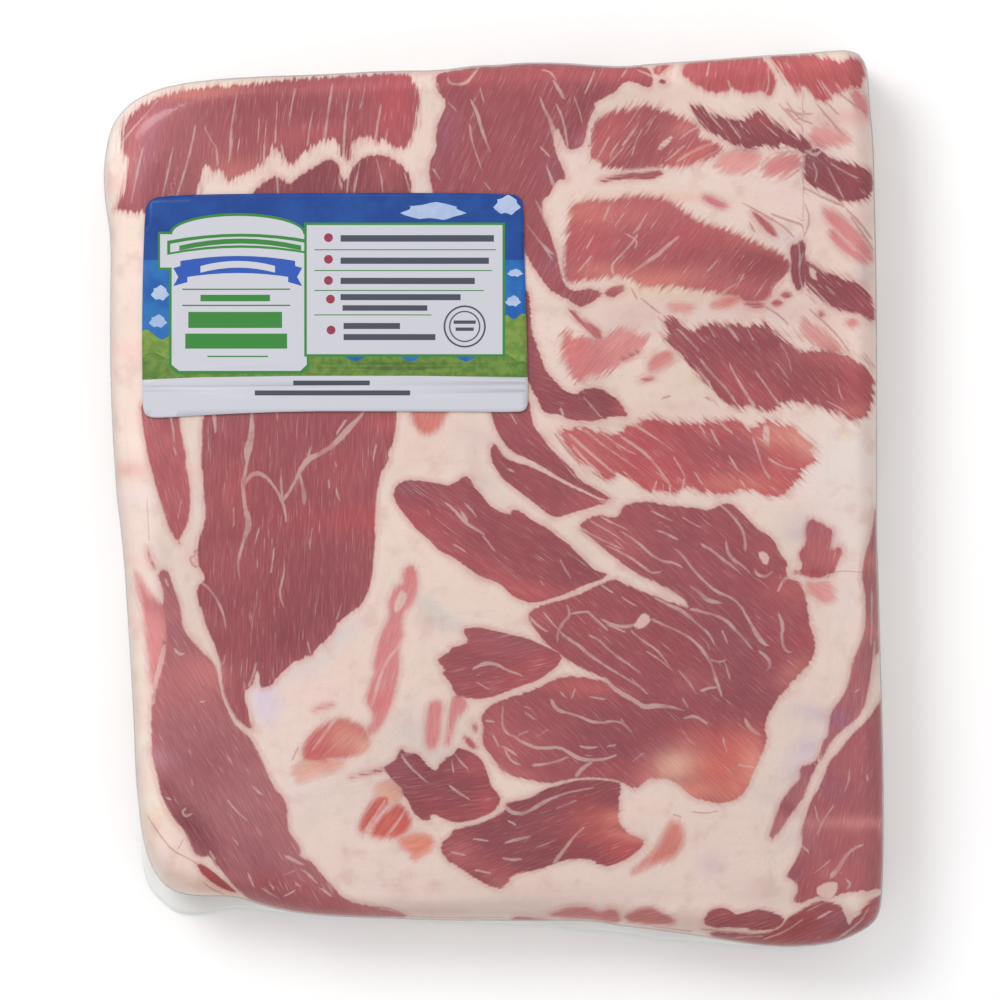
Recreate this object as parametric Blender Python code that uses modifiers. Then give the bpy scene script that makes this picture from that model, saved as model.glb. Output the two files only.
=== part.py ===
"""Vacuum-packed slab of pork belly with its label, lying flat.

Metres, +Z up. The origin is the centre of the pack's footprint, on the surface it lies on. +Y runs along the
longer side. Two pieces: the sealed pack (meat and the clear film drawn tight round it, with the low skirt of
spare film round its foot) and the label stuck on top of the film.
"""

import math

import bmesh
import bpy
from mathutils import Vector

MM = 0.001

# ---- driving sizes, in millimetres ----
# The four corners of the slab's plan, before rounding, about the middle of the plan.
CORNER_TL = (-135.5, 148.8)
CORNER_TR = (131.3, 158.2)
CORNER_BR = (136.6, -153.8)
CORNER_BL = (-123.3, -138.6)
RADIUS_TL, RADIUS_TR, RADIUS_BR, RADIUS_BL = 26.0, 7.0, 15.0, 24.0
THICKNESS = 38.0  # of the slab at its middle
# How far in the rim of the top face stands from the widest outline, side by side.
TOP_INSET = {"left": 8.5, "right": 1.6, "top": 2.0, "bottom": 2.2}
FOOT_INSET = 2.5
WIDEST_Z = 16.0
# The skirt of spare film round the foot of the pack.
SKIRT_THICKNESS = 0.9
SKIRT_Z = 2.6
SKIRT_LEAST = 0.9
# The label: its corner on the slab, size and gap to the film.
LABEL_LEFT, LABEL_TOP = -121.6, 106.6
LABEL_WIDTH, LABEL_HEIGHT = 133.6, 75.8
LABEL_RADIUS = 3.2
LABEL_THICKNESS = 0.25
LABEL_GAP = 0.45

BODY_COLOUR = (0.43, 0.16, 0.15)
LABEL_COLOUR = (0.55, 0.60, 0.68)


def bump(x, centre, spread, height):
    """A smooth bump of that height and spread."""
    return height * math.exp(-(((x - centre) / spread) ** 2))


def edge_wave(side, along):
    """How far, in mm, a side stands outside its straight line at a place along it."""
    if side == "left":
        return bump(along, 112, 14, 1.6) + bump(along, 42, 34, 2.0) - bump(along, -92, 30, 1.0)
    if side == "right":
        return bump(along, 85, 50, 0.9) - bump(along, -140, 12, 0.8)
    if side == "top":
        return -bump(along, -35, 34, 1.7) - bump(along, 46, 17, 3.2) + bump(along, 6, 18, 0.6)
    return bump(along, 100, 24, 1.8) - bump(along, 34, 26, 3.6) - bump(along, -4, 30, 1.0) - bump(along, 72, 12, 0.8) - bump(along, -98, 14, 4.5)


def skirt_width(side, along):
    """How far the spare film reaches past the slab at a place along a side."""
    if side == "bottom":
        return 4.0 + bump(along, -104, 20, 9.5) + bump(along, 34, 28, 3.4)
    if side == "left":
        return SKIRT_LEAST + bump(along, -138, 16, 2.6)
    if side == "top":
        return SKIRT_LEAST + bump(along, 50, 24, 2.6)
    return SKIRT_LEAST


def round_corner(p, corner, along_a, along_b, radius):
    """Rounds a plan corner: the square of this radius at the corner is mapped to a quarter disc."""
    rel = p - corner
    det = along_a.x * along_b.y - along_a.y * along_b.x
    a = (rel.x * along_b.y - rel.y * along_b.x) / det
    b = (along_a.x * rel.y - along_a.y * rel.x) / det
    if a >= radius or b >= radius:
        return p
    u, v = 1 - a / radius, 1 - b / radius
    du = min(abs(u), 1.3) * math.sqrt(max(0.0, 1 - min(v, 1.3) ** 2 / 2)) * math.copysign(1, u)
    dv = min(abs(v), 1.3) * math.sqrt(max(0.0, 1 - min(u, 1.3) ** 2 / 2)) * math.copysign(1, v)
    return corner + along_a * (radius * (1 - du)) + along_b * (radius * (1 - dv))


def plan(u, v, inset, skirt=False):
    """Plan position, in mm, of a share u across and v up the slab, with its outline moved in by inset(side)."""
    tl, tr, br, bl = (Vector(c) for c in (CORNER_TL, CORNER_TR, CORNER_BR, CORNER_BL))
    p = bl * (1 - u) * (1 - v) + br * u * (1 - v) + tl * (1 - u) * v + tr * u * v

    def out(side, along):
        reach = edge_wave(side, along) - inset(side)
        return reach + (skirt_width(side, along) if skirt else 0.0)

    p = p + Vector((
        (out("right", p.y)) * u - (out("left", p.y)) * (1 - u),
        (out("top", p.x)) * v - (out("bottom", p.x)) * (1 - v),
    ))
    for corner, side_a, side_b, to_a, to_b, radius in (
        (tl, "left", "top", tr - tl, bl - tl, RADIUS_TL),
        (tr, "right", "top", tl - tr, br - tr, RADIUS_TR),
        (br, "right", "bottom", bl - br, tr - br, RADIUS_BR),
        (bl, "left", "bottom", br - bl, tl - bl, RADIUS_BL),
    ):
        shift_x = out(side_a, corner.y) * (1 if side_a == "right" else -1)
        shift_y = out(side_b, corner.x) * (1 if side_b == "top" else -1)
        p = round_corner(p, corner + Vector((shift_x, shift_y)), to_a.normalized(), to_b.normalized(), radius)
    return p


def top_height(x, y):
    """The height of the slab's top face: a flat crown, thinner to the left, with the soft rib hollows on the right."""
    z = THICKNESS - 3.0 * max(0.0, (-x - 60) / 75) ** 2 - 1.6 * (x / 135) ** 2 - 1.6 * (y / 155) ** 2
    ribs = bump(x, 80, 42, 1.0) * bump(y, 75, 70, 1.0)
    z += 0.9 * ribs * math.sin((y - 0.25 * x) * 2 * math.pi / 30)
    return z + bump(x, -84, 24, 1.2) * bump(y, -70, 60, 1.0)


def shape_pack(mesh):
    """Moves each point of the loop-cut block to its place on the pack."""
    for vert in mesh.verts:
        u, v, level = vert.co.x, vert.co.y, vert.co.z
        lift = max(0.0, level - WIDEST_Z) / (THICKNESS - WIDEST_Z)
        sink = max(0.0, WIDEST_Z - level) / WIDEST_Z

        def inset(side):
            return TOP_INSET[side] * lift**2 + FOOT_INSET * sink**3

        on_skirt = abs(level - SKIRT_Z) < SKIRT_THICKNESS * 0.6 and min(u, v, 1 - u, 1 - v) < 1e-4
        p = plan(u, v, inset, skirt=on_skirt)
        z = level
        if level > WIDEST_Z:
            z = WIDEST_Z + (top_height(p.x, p.y) - WIDEST_Z) * lift
        vert.co = (p.x * MM, p.y * MM, z * MM)


def grid_lines(near, far, length, step):
    """Loop-cut places from 0 to 1, closer together by both rims."""
    ends = [near * 0.5 / length, near / length]
    starts = [1 - far / length, 1 - far * 0.5 / length]
    count = max(2, round((starts[0] - ends[1]) * length / step))
    inner = [ends[1] + (starts[0] - ends[1]) * k / count for k in range(1, count)]
    return ends + inner + starts


def make_material(name, colour, roughness):
    material = bpy.data.materials.new(name)
    material.use_nodes = True
    shader = material.node_tree.nodes["Principled BSDF"]
    shader.inputs["Base Color"].default_value = (*colour, 1.0)
    shader.inputs["Roughness"].default_value = roughness
    shader.inputs["Metallic"].default_value = 0.0
    return material


def make_pack(collection):
    mesh = bmesh.new()
    bmesh.ops.create_cube(mesh, size=1.0)
    for vert in mesh.verts:
        vert.co = (vert.co.x + 0.5, vert.co.y + 0.5, (vert.co.z + 0.5) * THICKNESS)
    half = SKIRT_THICKNESS / 2
    cuts = [("x", s) for s in grid_lines(12, 6, 266, 19)]
    cuts += [("y", s) for s in grid_lines(7, 7, 305, 19)]
    cuts += [("z", s) for s in (SKIRT_Z - half - 0.7, SKIRT_Z - half, SKIRT_Z + half, SKIRT_Z + half + 0.9, 9.5, WIDEST_Z, 25.0, 33.0)]
    for axis, place in cuts:
        at = {"x": (place, 0, 0), "y": (0, place, 0), "z": (0, 0, place)}[axis]
        normal = {"x": (1, 0, 0), "y": (0, 1, 0), "z": (0, 0, 1)}[axis]
        bmesh.ops.bisect_plane(mesh, geom=mesh.verts[:] + mesh.edges[:] + mesh.faces[:], plane_co=at, plane_no=normal, dist=1e-6)
    shape_pack(mesh)
    bmesh.ops.recalc_face_normals(mesh, faces=mesh.faces[:])
    data = bpy.data.meshes.new("sealed_pack")
    mesh.to_mesh(data)
    mesh.free()
    pack = bpy.data.objects.new("sealed_pack", data)
    collection.objects.link(pack)
    smooth = pack.modifiers.new("Soft edges", "SUBSURF")
    smooth.levels = smooth.render_levels = 1
    data.materials.append(make_material("pork_belly", BODY_COLOUR, 0.35))
    data.shade_smooth()
    return pack


def make_label(collection, pack):
    """A thin sheet with round corners that follows the top of the pack, a little clear of it."""
    mesh = bmesh.new()
    bmesh.ops.create_grid(mesh, x_segments=26, y_segments=15, size=0.5)
    for vert in mesh.verts:
        x, y = (vert.co.x + 0.5) * LABEL_WIDTH, (vert.co.y + 0.5) * LABEL_HEIGHT
        cx, cy = min(max(x, LABEL_RADIUS), LABEL_WIDTH - LABEL_RADIUS), min(max(y, LABEL_RADIUS), LABEL_HEIGHT - LABEL_RADIUS)
        away = Vector((x - cx, y - cy))
        if away.length > LABEL_RADIUS:
            away *= LABEL_RADIUS / away.length
        x, y = cx + away.x, cy + away.y
        y_up = y / LABEL_HEIGHT
        dip = 5.0 * math.exp(-(x / 13.0) ** 1.3) * y_up  # the top edge falls towards the left corner
        sag = 1.6 * (1 - y_up) * math.sin(math.pi * x / LABEL_WIDTH)
        vert.co = ((LABEL_LEFT + x) * MM, (LABEL_TOP - LABEL_HEIGHT + y - dip + sag) * MM, 0.06)
    data = bpy.data.meshes.new("label")
    mesh.to_mesh(data)
    mesh.free()
    label = bpy.data.objects.new("label", data)
    collection.objects.link(label)
    lay = label.modifiers.new("Lay on film", "SHRINKWRAP")
    lay.target = pack
    lay.wrap_method = "PROJECT"
    lay.use_project_z = True
    lay.use_negative_direction = True
    lay.use_positive_direction = False
    lay.offset = LABEL_GAP * MM
    thick = label.modifiers.new("Paper", "SOLIDIFY")
    thick.thickness = LABEL_THICKNESS * MM
    thick.offset = 1.0
    data.materials.append(make_material("label_print", LABEL_COLOUR, 0.4))
    return label


def centre_on_footprint(pack, label):
    """Puts the origin at the centre of the pack's footprint, with its underside at z 0."""
    bpy.context.view_layer.update()
    graph = bpy.context.evaluated_depsgraph_get()
    corners = [pack.evaluated_get(graph).matrix_world @ Vector(c) for c in pack.evaluated_get(graph).bound_box]
    low = Vector(min(c[i] for c in corners) for i in range(3))
    high = Vector(max(c[i] for c in corners) for i in range(3))
    shift = Vector((-(low.x + high.x) / 2, -(low.y + high.y) / 2, -low.z))
    for obj in (pack, label):
        obj.location += shift


def main():
    for obj in list(bpy.data.objects):
        bpy.data.objects.remove(obj, do_unlink=True)
    collection = bpy.data.collections.new("pork_belly_pack")
    bpy.context.scene.collection.children.link(collection)
    pack = make_pack(collection)
    label = make_label(collection, pack)
    centre_on_footprint(pack, label)


main()
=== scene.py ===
"""The looks of a vacuum-packed slab of pork belly: the meat with its muscles, fat and marbling, the clear film
drawn round it, and the printed label.

The pattern of the meat is drawn below, as named muscles, strands and tints, on a drawing board whose unit is
about 0.35 mm, x to the right and y down. Everything is built in the row frame, in metres, with lengths written in mm.
"""

import math

import bpy
import numpy as np
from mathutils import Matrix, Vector, geometry


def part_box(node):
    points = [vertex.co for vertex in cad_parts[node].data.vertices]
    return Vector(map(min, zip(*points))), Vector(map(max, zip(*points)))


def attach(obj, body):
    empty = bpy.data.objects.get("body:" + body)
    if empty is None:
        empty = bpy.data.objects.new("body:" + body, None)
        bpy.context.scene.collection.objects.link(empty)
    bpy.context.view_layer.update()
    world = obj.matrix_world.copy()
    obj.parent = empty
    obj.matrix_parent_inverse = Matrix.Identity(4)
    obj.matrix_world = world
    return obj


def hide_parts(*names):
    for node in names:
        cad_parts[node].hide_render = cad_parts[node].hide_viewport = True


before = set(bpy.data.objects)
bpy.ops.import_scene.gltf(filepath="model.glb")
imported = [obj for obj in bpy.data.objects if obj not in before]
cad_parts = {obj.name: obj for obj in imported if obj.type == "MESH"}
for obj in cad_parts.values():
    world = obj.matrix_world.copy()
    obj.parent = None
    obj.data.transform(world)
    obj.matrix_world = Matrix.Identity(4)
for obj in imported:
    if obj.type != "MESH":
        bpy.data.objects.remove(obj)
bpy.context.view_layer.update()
pack_low, pack_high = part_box("sealed_pack")
label_low, label_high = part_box("label")

MM = 0.001
# The drawing board's edges of the pack, and so its unit and origin.
BOARD_LEFT, BOARD_RIGHT, BOARD_TOP, BOARD_BOTTOM = 105.0, 880.5, 53.5, 952.8
UNIT = (pack_high.x - pack_low.x) / MM / (BOARD_RIGHT - BOARD_LEFT)
MID_X = (pack_low.x + pack_high.x) / 2 / MM
MID_Y = (pack_low.y + pack_high.y) / 2 / MM
THICK = pack_high.z / MM - 0.6  # the top of the meat at its middle, under the film


def board(points):
    """Drawing board to row frame, mm."""
    p = np.asarray(points, float)
    return np.c_[
        MID_X + (p[:, 0] - (BOARD_LEFT + BOARD_RIGHT) / 2) * UNIT,
        MID_Y - (p[:, 1] - (BOARD_TOP + BOARD_BOTTOM) / 2) * UNIT,
    ]


def smooth(t):
    t = np.clip(t, 0, 1)
    return t * t * (3 - 2 * t)


# ------------------------------------------------------------------ palette, display values 0 to 255
# the fourth colour, the darkest, is painted shade for the deep crease in the lower left
ROSE, DARK, DEEP, CREASE_SHADE = (171, 102, 106), (153, 87, 94), (138, 75, 83), (122, 62, 70)
RUBY, BRICK, CORAL, PEACH = (181, 98, 101), (190, 118, 114), (203, 142, 128), (216, 176, 157)
MAUVE, PINK, BLUSH, TAN, PLUM = (164, 112, 116), (203, 148, 146), (213, 170, 163), (217, 188, 166), (140, 86, 106)
EMBER = (196, 108, 95)
IVORY, CREAM, BONE, SHELL, FLESH = (236, 221, 209), (231, 213, 202), (226, 206, 195), (221, 198, 188), (213, 185, 177)
LILAC, FROST = (214, 200, 206), (226, 214, 214)


def linear(rgb):
    c = np.asarray(rgb, float) / 255
    return np.where(c <= 0.04045, c / 12.92, ((c + 0.055) / 1.055) ** 2.4)


# ------------------------------------------------------------------ the slab's outline, clockwise from top left
OUTLINE = [
    (127.5, 108), (141, 99), (159, 91), (180, 86.5), (204, 83.5), (255, 80), (320, 78), (392, 74), (440, 74), (478, 68.5), (497, 68.5), (520, 66), (560, 66),
    (600, 69), (625, 70), (652, 67), (700, 64), (760, 59), (800, 57), (835, 53.8), (848, 53.5), (859, 59), (865, 73), (867, 112), (870.5, 143.5),
    (871.5, 191), (873, 255), (873.7, 319), (874, 383), (874, 450), (874, 500), (873.7, 532), (876, 596), (877, 643.5), (879.5, 723), (880.5, 787), (880.5, 851), (879.5, 889),
    (878, 908), (871.5, 921), (857, 930.5), (835, 940), (803, 944), (771, 944), (739, 940), (691, 932), (643.5, 925.7), (615, 922.5), (596, 918.8),
    (564, 917.7), (519, 918.4), (500, 917.7), (446, 917.7), (399, 916), (351, 914.5), (303, 911.4), (265, 903.4), (236, 893), (204, 894), (180, 892), (163, 882),
    (150, 860), (143, 830), (140, 803), (137, 771), (135.5, 723), (132, 659), (129, 612), (126, 564), (121, 516), (118.6, 500), (115, 446), (112, 383),
    (111.6, 303), (112.5, 255), (111.2, 230), (107, 204), (105, 179), (107, 153), (113, 126),
]

# ------------------------------------------------------------------ lean muscles: name, colour, fibre angle, fringe mm, softness mm, outline
LEAN = [
    ("flank", DARK, 84, 1.9, 0.5, [
        (118, 215), (123, 200), (129, 184), (134, 167), (126, 153), (123, 140), (128, 124), (140, 110), (155, 102), (170, 97), (186, 93), (205, 91), (230, 89), (255, 87), (278, 84), (300, 81.5), (330, 80),
        (375, 77.5), (396, 76), (411, 79), (418, 90), (419, 108), (417, 128), (413, 140), (408, 148), (400, 152), (393, 149), (386, 143), (378, 144), (371, 139), (363, 139), (356, 144), (352, 158),
        (348, 164), (344, 160), (341, 148), (335, 141), (328, 143), (320, 146), (312, 151), (304, 156), (296, 165), (289, 167), (284, 155), (280, 157), (276, 147), (272, 153), (268, 162), (258, 171),
        (248, 177), (236, 181), (228, 183), (223, 172), (217, 175), (210, 167), (205, 176), (199, 192), (194, 215)]),
    ("under_label_top", DEEP, 84, 1.2, 0.35, [
        (246, 225), (253, 196), (262, 189), (271, 182), (277, 178), (281, 184), (285, 178), (289, 188), (298, 181), (308, 175), (320, 167), (331, 162), (338, 163), (342, 176), (346, 187), (350, 178), (356, 167),
        (365, 160), (376, 158.5), (388, 158.5), (398, 165), (406, 172), (413, 184), (412, 200), (410, 225)]),
    ("crown", DARK, 66, 0.7, 0.28, [
        (436, 77), (450, 74.5), (478, 69), (500, 69), (520, 66), (560, 66), (600, 69), (625, 70), (645, 69), (652, 78), (651, 91), (643, 90), (633, 85.5), (624, 85), (618, 90), (612, 97), (603, 101), (594, 105),
        (594, 112), (590, 120), (586, 130), (585, 141), (582, 149), (575, 152), (567, 154), (561, 148), (558, 152), (556, 158), (561, 166), (565, 176), (568, 184), (560, 181), (556, 185), (552, 192), (549, 198),
        (543, 200), (541, 210), (545, 222), (550, 235), (554, 248), (557, 260), (560, 273), (563, 285), (569, 291), (577, 293), (588, 290), (599, 293), (602, 297), (594, 302), (586, 307), (578, 309),
        (571, 303), (560, 298), (550, 292), (543, 284), (537, 274), (530, 264), (524, 253), (515, 230), (505, 215), (432, 215), (433, 192), (430, 180), (430, 165), (434, 158), (437, 150), (436, 142),
        (437, 132), (441, 122), (445, 113), (447, 104), (440, 98), (437, 90)]),
    ("crown_tail", DARK, 45, 1.0, 0.4, [(602, 296), (606, 291), (614, 288), (622, 286.5), (625, 292), (618, 297), (609, 299)]),
    ("rib_one", ROSE, 55, 1.9, 0.7, [
        (599, 121), (608, 116), (620, 113), (632, 112), (642, 109), (652, 110), (662, 113), (672, 118), (684, 122), (695, 126), (698, 132), (692, 139), (702, 141), (713, 146), (722, 151), (716, 157),
        (703, 162), (690, 167), (675, 170), (658, 169), (642, 171), (626, 173), (612, 172), (600, 168), (591, 161), (590, 150), (592, 140), (593, 130)]),
    ("rib_one_line", DARK, 5, 0.9, 0.4, [(597, 183), (608, 180), (624, 176), (642, 175.5), (660, 173), (662, 178), (650, 182), (630, 181), (611, 184), (599, 186)]),
    ("top_strip_left", RUBY, 80, 1.0, 0.5, [(652, 70), (664, 66.5), (672, 68), (667, 74), (661, 79), (652, 78)]),
    ("top_spot", DEEP, 20, 0.4, 0.3, [(656, 84), (661, 82.5), (667, 86), (662, 88.5)]),
    ("top_strip", RUBY, 78, 1.3, 0.55, [
        (679, 78), (682, 66), (700, 63.5), (722, 62), (745, 60), (760, 59.5), (766, 68), (772, 77), (773, 88), (768, 101), (761, 94), (751, 95), (744, 97), (735, 95), (729, 90), (724, 96), (712, 96), (703, 93),
        (695, 88), (687, 83)]),
    ("top_corner", RUBY, -62, 1.7, 0.6, [
        (765, 59), (780, 57), (796, 56), (812, 57), (822, 62), (838, 66), (851, 60), (860, 64), (863, 76), (860, 88), (853, 93), (845, 91), (838, 96), (830, 98), (824, 104), (813, 101), (806, 94), (800, 88),
        (795, 98), (791, 90), (786, 84), (778, 76), (771, 67)]),
    ("rib_two", DEEP, -52, 2.1, 0.45, [
        (690, 107), (697, 109), (704, 114), (715, 118), (726, 121), (738, 124), (748, 121), (758, 113), (766, 121), (776, 130), (788, 134), (798, 140), (808, 145), (810, 152), (804, 157), (797, 153), (788, 149),
        (780, 148), (774, 151), (764, 147), (756, 152), (745, 152), (736, 149), (726, 144), (714, 138), (704, 131), (697, 125), (692, 116)]),
    ("rib_two_ghost", BLUSH, 35, 2.0, 1.6, [(713, 168), (722, 158), (738, 152), (757, 154), (757, 166), (744, 174), (728, 174)]),
    ("rib_two_ghost_b", PINK, 35, 2.0, 1.5, [(758, 172), (768, 162), (784, 155), (799, 158), (800, 170), (786, 178), (766, 180)]),
    ("right_one", DEEP, -45, 1.5, 0.45, [
        (802, 156), (810, 151), (819, 152), (826, 161), (840, 165), (856, 169), (871, 173), (872, 190), (866, 200), (851, 204), (838, 203), (825, 196), (812, 190), (803, 183), (801, 170)]),
    ("right_streak_a", PINK, -42, 1.2, 0.7, [(818, 211), (828, 212), (842, 222), (856, 236), (866, 248), (872, 262), (864, 262), (853, 250), (840, 238), (828, 226)]),
    ("right_streak_b", PINK, -40, 1.2, 0.8, [(826, 229), (834, 234), (846, 247), (860, 258), (866, 266), (854, 262), (840, 253), (830, 243)]),
    ("right_high", BLUSH, -38, 1.6, 1.1, [(808, 133), (822, 130), (838, 136), (849, 143), (838, 147), (822, 151), (808, 147)]),
    ("right_edge_high", PINK, -50, 1.5, 0.9, [(846, 96), (856, 94), (866, 104), (867, 118), (856, 113)]),
    ("rose_drop", (196, 130, 144), -20, 0.5, 0.7, [(700, 199), (708, 198.5), (718, 203), (728, 208), (722, 211), (711, 208), (703, 203)]),
    ("mid_streak", ROSE, -48, 0.9, 0.5, [(748, 212), (757, 217), (768, 226), (776, 238), (770, 239), (761, 230), (753, 221)]),
    ("rib_three", ROSE, 52, 2.0, 0.8, [
        (573, 207), (586, 203), (600, 204), (616, 203), (630, 200), (645, 199), (660, 201), (672, 206), (682, 213), (692, 222), (706, 227), (720, 231), (735, 236), (750, 243), (765, 250), (778, 256), (788, 264),
        (788, 271), (782, 279), (775, 289), (768, 299), (757, 304), (745, 304), (733, 299), (719, 296), (704, 292), (688, 291), (670, 287), (652, 289), (638, 286), (627, 279), (615, 277), (602, 280), (586, 281),
        (572, 285), (565, 283), (563, 268), (565, 250), (568, 232), (570, 218)]),
    ("rib_three_foot", ROSE, 5, 0.9, 0.5, [(738, 301), (748, 304), (760, 304), (766, 307), (757, 311), (746, 308)]),
    ("spot_a", ROSE, 10, 0.5, 0.5, [(777, 297), (783, 293), (790, 295), (788, 299), (781, 300)]),
    ("spot_b", ROSE, 10, 0.5, 0.5, [(769, 304), (776, 301), (782, 304), (777, 308), (770, 308)]),
    ("knot", DEEP, 80, 1.2, 0.4, [(787, 250), (794, 246), (800, 240), (804, 249), (803, 260), (806, 271), (803, 285), (797, 295), (791, 286), (788, 272), (790, 261)]),
    ("right_two", DEEP, -42, 1.5, 0.45, [
        (802, 258), (809, 268), (820, 274), (832, 277), (844, 281), (856, 285), (862, 293), (869, 300), (873, 312), (871, 326), (860, 316), (846, 314), (832, 310), (818, 302), (805, 291), (801, 278)]),
    ("right_three_spots", PINK, -40, 1.2, 0.6, [(844, 322), (850, 319), (856, 324), (852, 328), (846, 327)]),
    ("right_three_spot_b", ROSE, -40, 0.8, 0.6, [(815, 314), (820, 312), (823, 317), (817, 319)]),
    ("crease_lean", ROSE, -45, 1.2, 0.5, [(567, 310), (575, 313), (582, 321), (592, 327), (601, 333), (602, 341), (596, 342), (590, 334), (580, 326), (573, 319)]),
    ("fan", PINK, 48, 2.6, 1.1, [
        (564, 333), (571, 340), (580, 337), (592, 341), (603, 342), (614, 334), (626, 331), (640, 338), (646, 344), (636, 352), (624, 361), (612, 368), (600, 375), (588, 380), (576, 382), (568, 372), (563, 358),
        (562, 344)]),
    ("fan_spot", ROSE, 20, 1.0, 0.6, [(613, 358), (622, 355), (632, 352), (641, 349), (636, 356), (628, 361), (618, 364)]),
    ("fan_wedge", PINK, 40, 1.2, 0.9, [(647, 368), (650, 359), (658, 353), (668, 352), (673, 358), (666, 365), (656, 371), (649, 375)]),
    ("fan_spot_b", ROSE, 15, 0.6, 0.5, [(637, 383), (643, 378.5), (650, 377), (654, 380), (645, 382.5)]),
    ("pale_spot", BLUSH, 0, 1.2, 0.9, [(666, 308), (678, 305), (692, 308), (688, 314), (672, 314)]),
    ("amber_a", CORAL, 20, 1.0, 1.4, [(708, 308), (716, 302), (728, 297), (742, 299), (736, 304), (722, 310)]),
    ("rib_four", DARK, -48, 2.2, 0.5, [
        (664, 321), (673, 320), (682, 328), (692, 333), (701, 329), (709, 324), (717, 326), (726, 329), (735, 326), (745, 329), (754, 326), (762, 325), (770, 330), (778, 338), (786, 345), (796, 352), (806, 353),
        (816, 350), (828, 351), (838, 355), (850, 359), (860, 365), (868, 373), (870, 386), (869, 402), (865, 415), (857, 421), (846, 418), (834, 412), (818, 408), (802, 402), (790, 402), (780, 404), (774, 411),
        (765, 412), (756, 408), (748, 404), (741, 410), (733, 404), (724, 404), (717, 400), (711, 392), (706, 383), (698, 374), (689, 366), (681, 358), (673, 351), (667, 344), (665, 334)]),
    ("rib_four_haze", BLUSH, -50, 2.2, 1.2, [(800, 322), (812, 328), (826, 338), (840, 350), (836, 355), (820, 350), (806, 340), (799, 332)]),
    ("tongue", DEEP, -20, 0.8, 0.28, [
        (521, 290), (529, 293), (530, 310), (531, 333), (536, 345), (541, 360), (545, 372), (552, 379), (558, 386), (564, 392), (571, 395.5), (578, 394), (583, 390), (590, 388), (598, 390), (606, 393), (613, 398),
        (619, 403), (623, 410), (628, 418), (619, 417), (611, 417), (604, 420), (594, 421.5), (580, 422), (566, 420), (559, 415), (550, 415.5), (543, 412), (539, 404), (533, 393), (527, 380), (521, 360)]),
    ("rib_five", RUBY, -40, 2.0, 0.5, [
        (562, 431), (572, 429), (582, 428), (592, 431), (602, 433), (611, 436), (620, 432), (630, 426), (642, 423), (654, 419), (664, 421), (676, 425), (688, 424), (698, 426), (707, 421), (716, 424), (726, 421),
        (736, 424), (745, 430), (752, 430), (762, 421), (776, 423), (788, 426), (797, 433), (805, 441), (810, 451), (812, 460), (808, 466), (800, 470), (797, 478), (790, 487), (780, 494), (769, 497), (758, 495),
        (748, 491), (736, 491), (724, 492), (711, 493), (700, 491), (692, 485), (684, 487), (677, 493), (667, 491), (658, 490), (649, 491), (640, 489), (633, 482), (626, 476), (616, 474), (606, 481), (596, 476),
        (586, 468), (576, 458), (569, 447), (564, 438)]),
    ("blade_a", DARK, -42, 0.5, 0.24, [
        (487, 400), (530, 400), (530, 412), (532, 421), (535, 431), (542, 438), (549, 448), (557, 456), (566, 464), (573, 470), (575, 477), (584, 483), (595, 489), (606, 496), (614, 501), (600, 499), (585, 491),
        (565, 481), (545, 469.5), (538, 463.5), (528, 459.5), (516, 454.5), (507, 448), (501, 439), (496, 429), (492, 417)]),
    ("blade_b", DARK, -38, 0.5, 0.24, [
        (491, 446), (496, 444.5), (499, 450), (503, 456), (509, 460.5), (518, 464), (527, 465.5), (535, 469.5), (543, 473), (553, 478), (565, 485), (585, 494), (600, 500.5), (613, 501.5), (605, 504), (597, 505),
        (588, 508), (577, 511), (567, 514), (557, 518), (550, 515), (540, 508), (530, 500), (520, 492), (510, 485), (502, 478), (496, 469), (491, 459)]),
    ("leaf", DARK, -36, 0.45, 0.24, [
        (400, 483), (408, 480.5), (418, 480.5), (430, 482), (440, 484), (449, 486), (455, 483), (462, 478), (467, 476.5), (471, 480), (474, 487), (480, 492), (484, 498), (489, 505), (495, 509), (503, 513),
        (510, 515), (513, 513.5), (508, 509), (515, 509), (523, 513), (530, 519), (538, 523), (547, 528), (555, 535), (563, 540), (570, 545), (576, 553), (584, 560), (590, 567), (597, 571), (607, 573), (604, 577),
        (597, 580), (588, 583), (580, 586), (570, 591), (560, 595), (550, 598), (540, 601), (530, 602), (520, 599), (512, 595), (506, 588), (500, 583), (492, 580), (483, 577), (475, 572), (465, 565), (456, 558),
        (445, 553), (437, 548), (430, 540), (422, 533), (414, 525), (408, 517), (402, 510), (397, 503), (394, 495), (396, 488)]),
    ("label_drop", CORAL, 80, 0.8, 1.0, [(411, 400), (452, 400), (448, 413), (444, 420), (440, 428), (433, 434), (426, 435), (419, 431), (415, 424), (412, 413)]),
    ("big", DARK, -42, 0.9, 0.32, [
        (577, 528), (584, 520), (592, 516), (601, 515), (611, 518), (618, 516), (621, 508), (627, 504), (636, 502), (648, 502), (660, 504), (672, 506), (684, 507), (696, 508), (706, 511), (714, 508), (720, 504),
        (728, 503), (734, 506), (740, 513), (748, 521), (756, 529), (764, 534), (771, 539), (775, 548), (779, 556), (785, 562), (783, 570), (785, 576), (791, 579), (798, 582), (802, 592), (804, 603), (806, 614),
        (807, 625), (811, 635), (813, 645), (810, 657), (803, 667), (795, 675), (789, 681), (784, 688), (777, 694), (773, 702), (768, 709), (763, 717), (763, 727), (765, 735), (762, 746), (757, 758), (751, 770),
        (747, 782), (742, 791), (732, 798), (720, 801), (705, 799), (692, 795), (683, 788), (674, 780), (664, 775), (655, 777), (647, 776), (641, 782), (634, 787), (627, 783), (617, 778), (604, 776), (590, 775),
        (575, 776), (562, 778), (552, 781), (541, 780), (528, 777), (514, 774), (505, 771), (499, 765), (493, 757), (486, 748), (482, 738), (484, 726), (481, 716), (486, 708), (494, 702), (504, 698), (517, 693.5),
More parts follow.
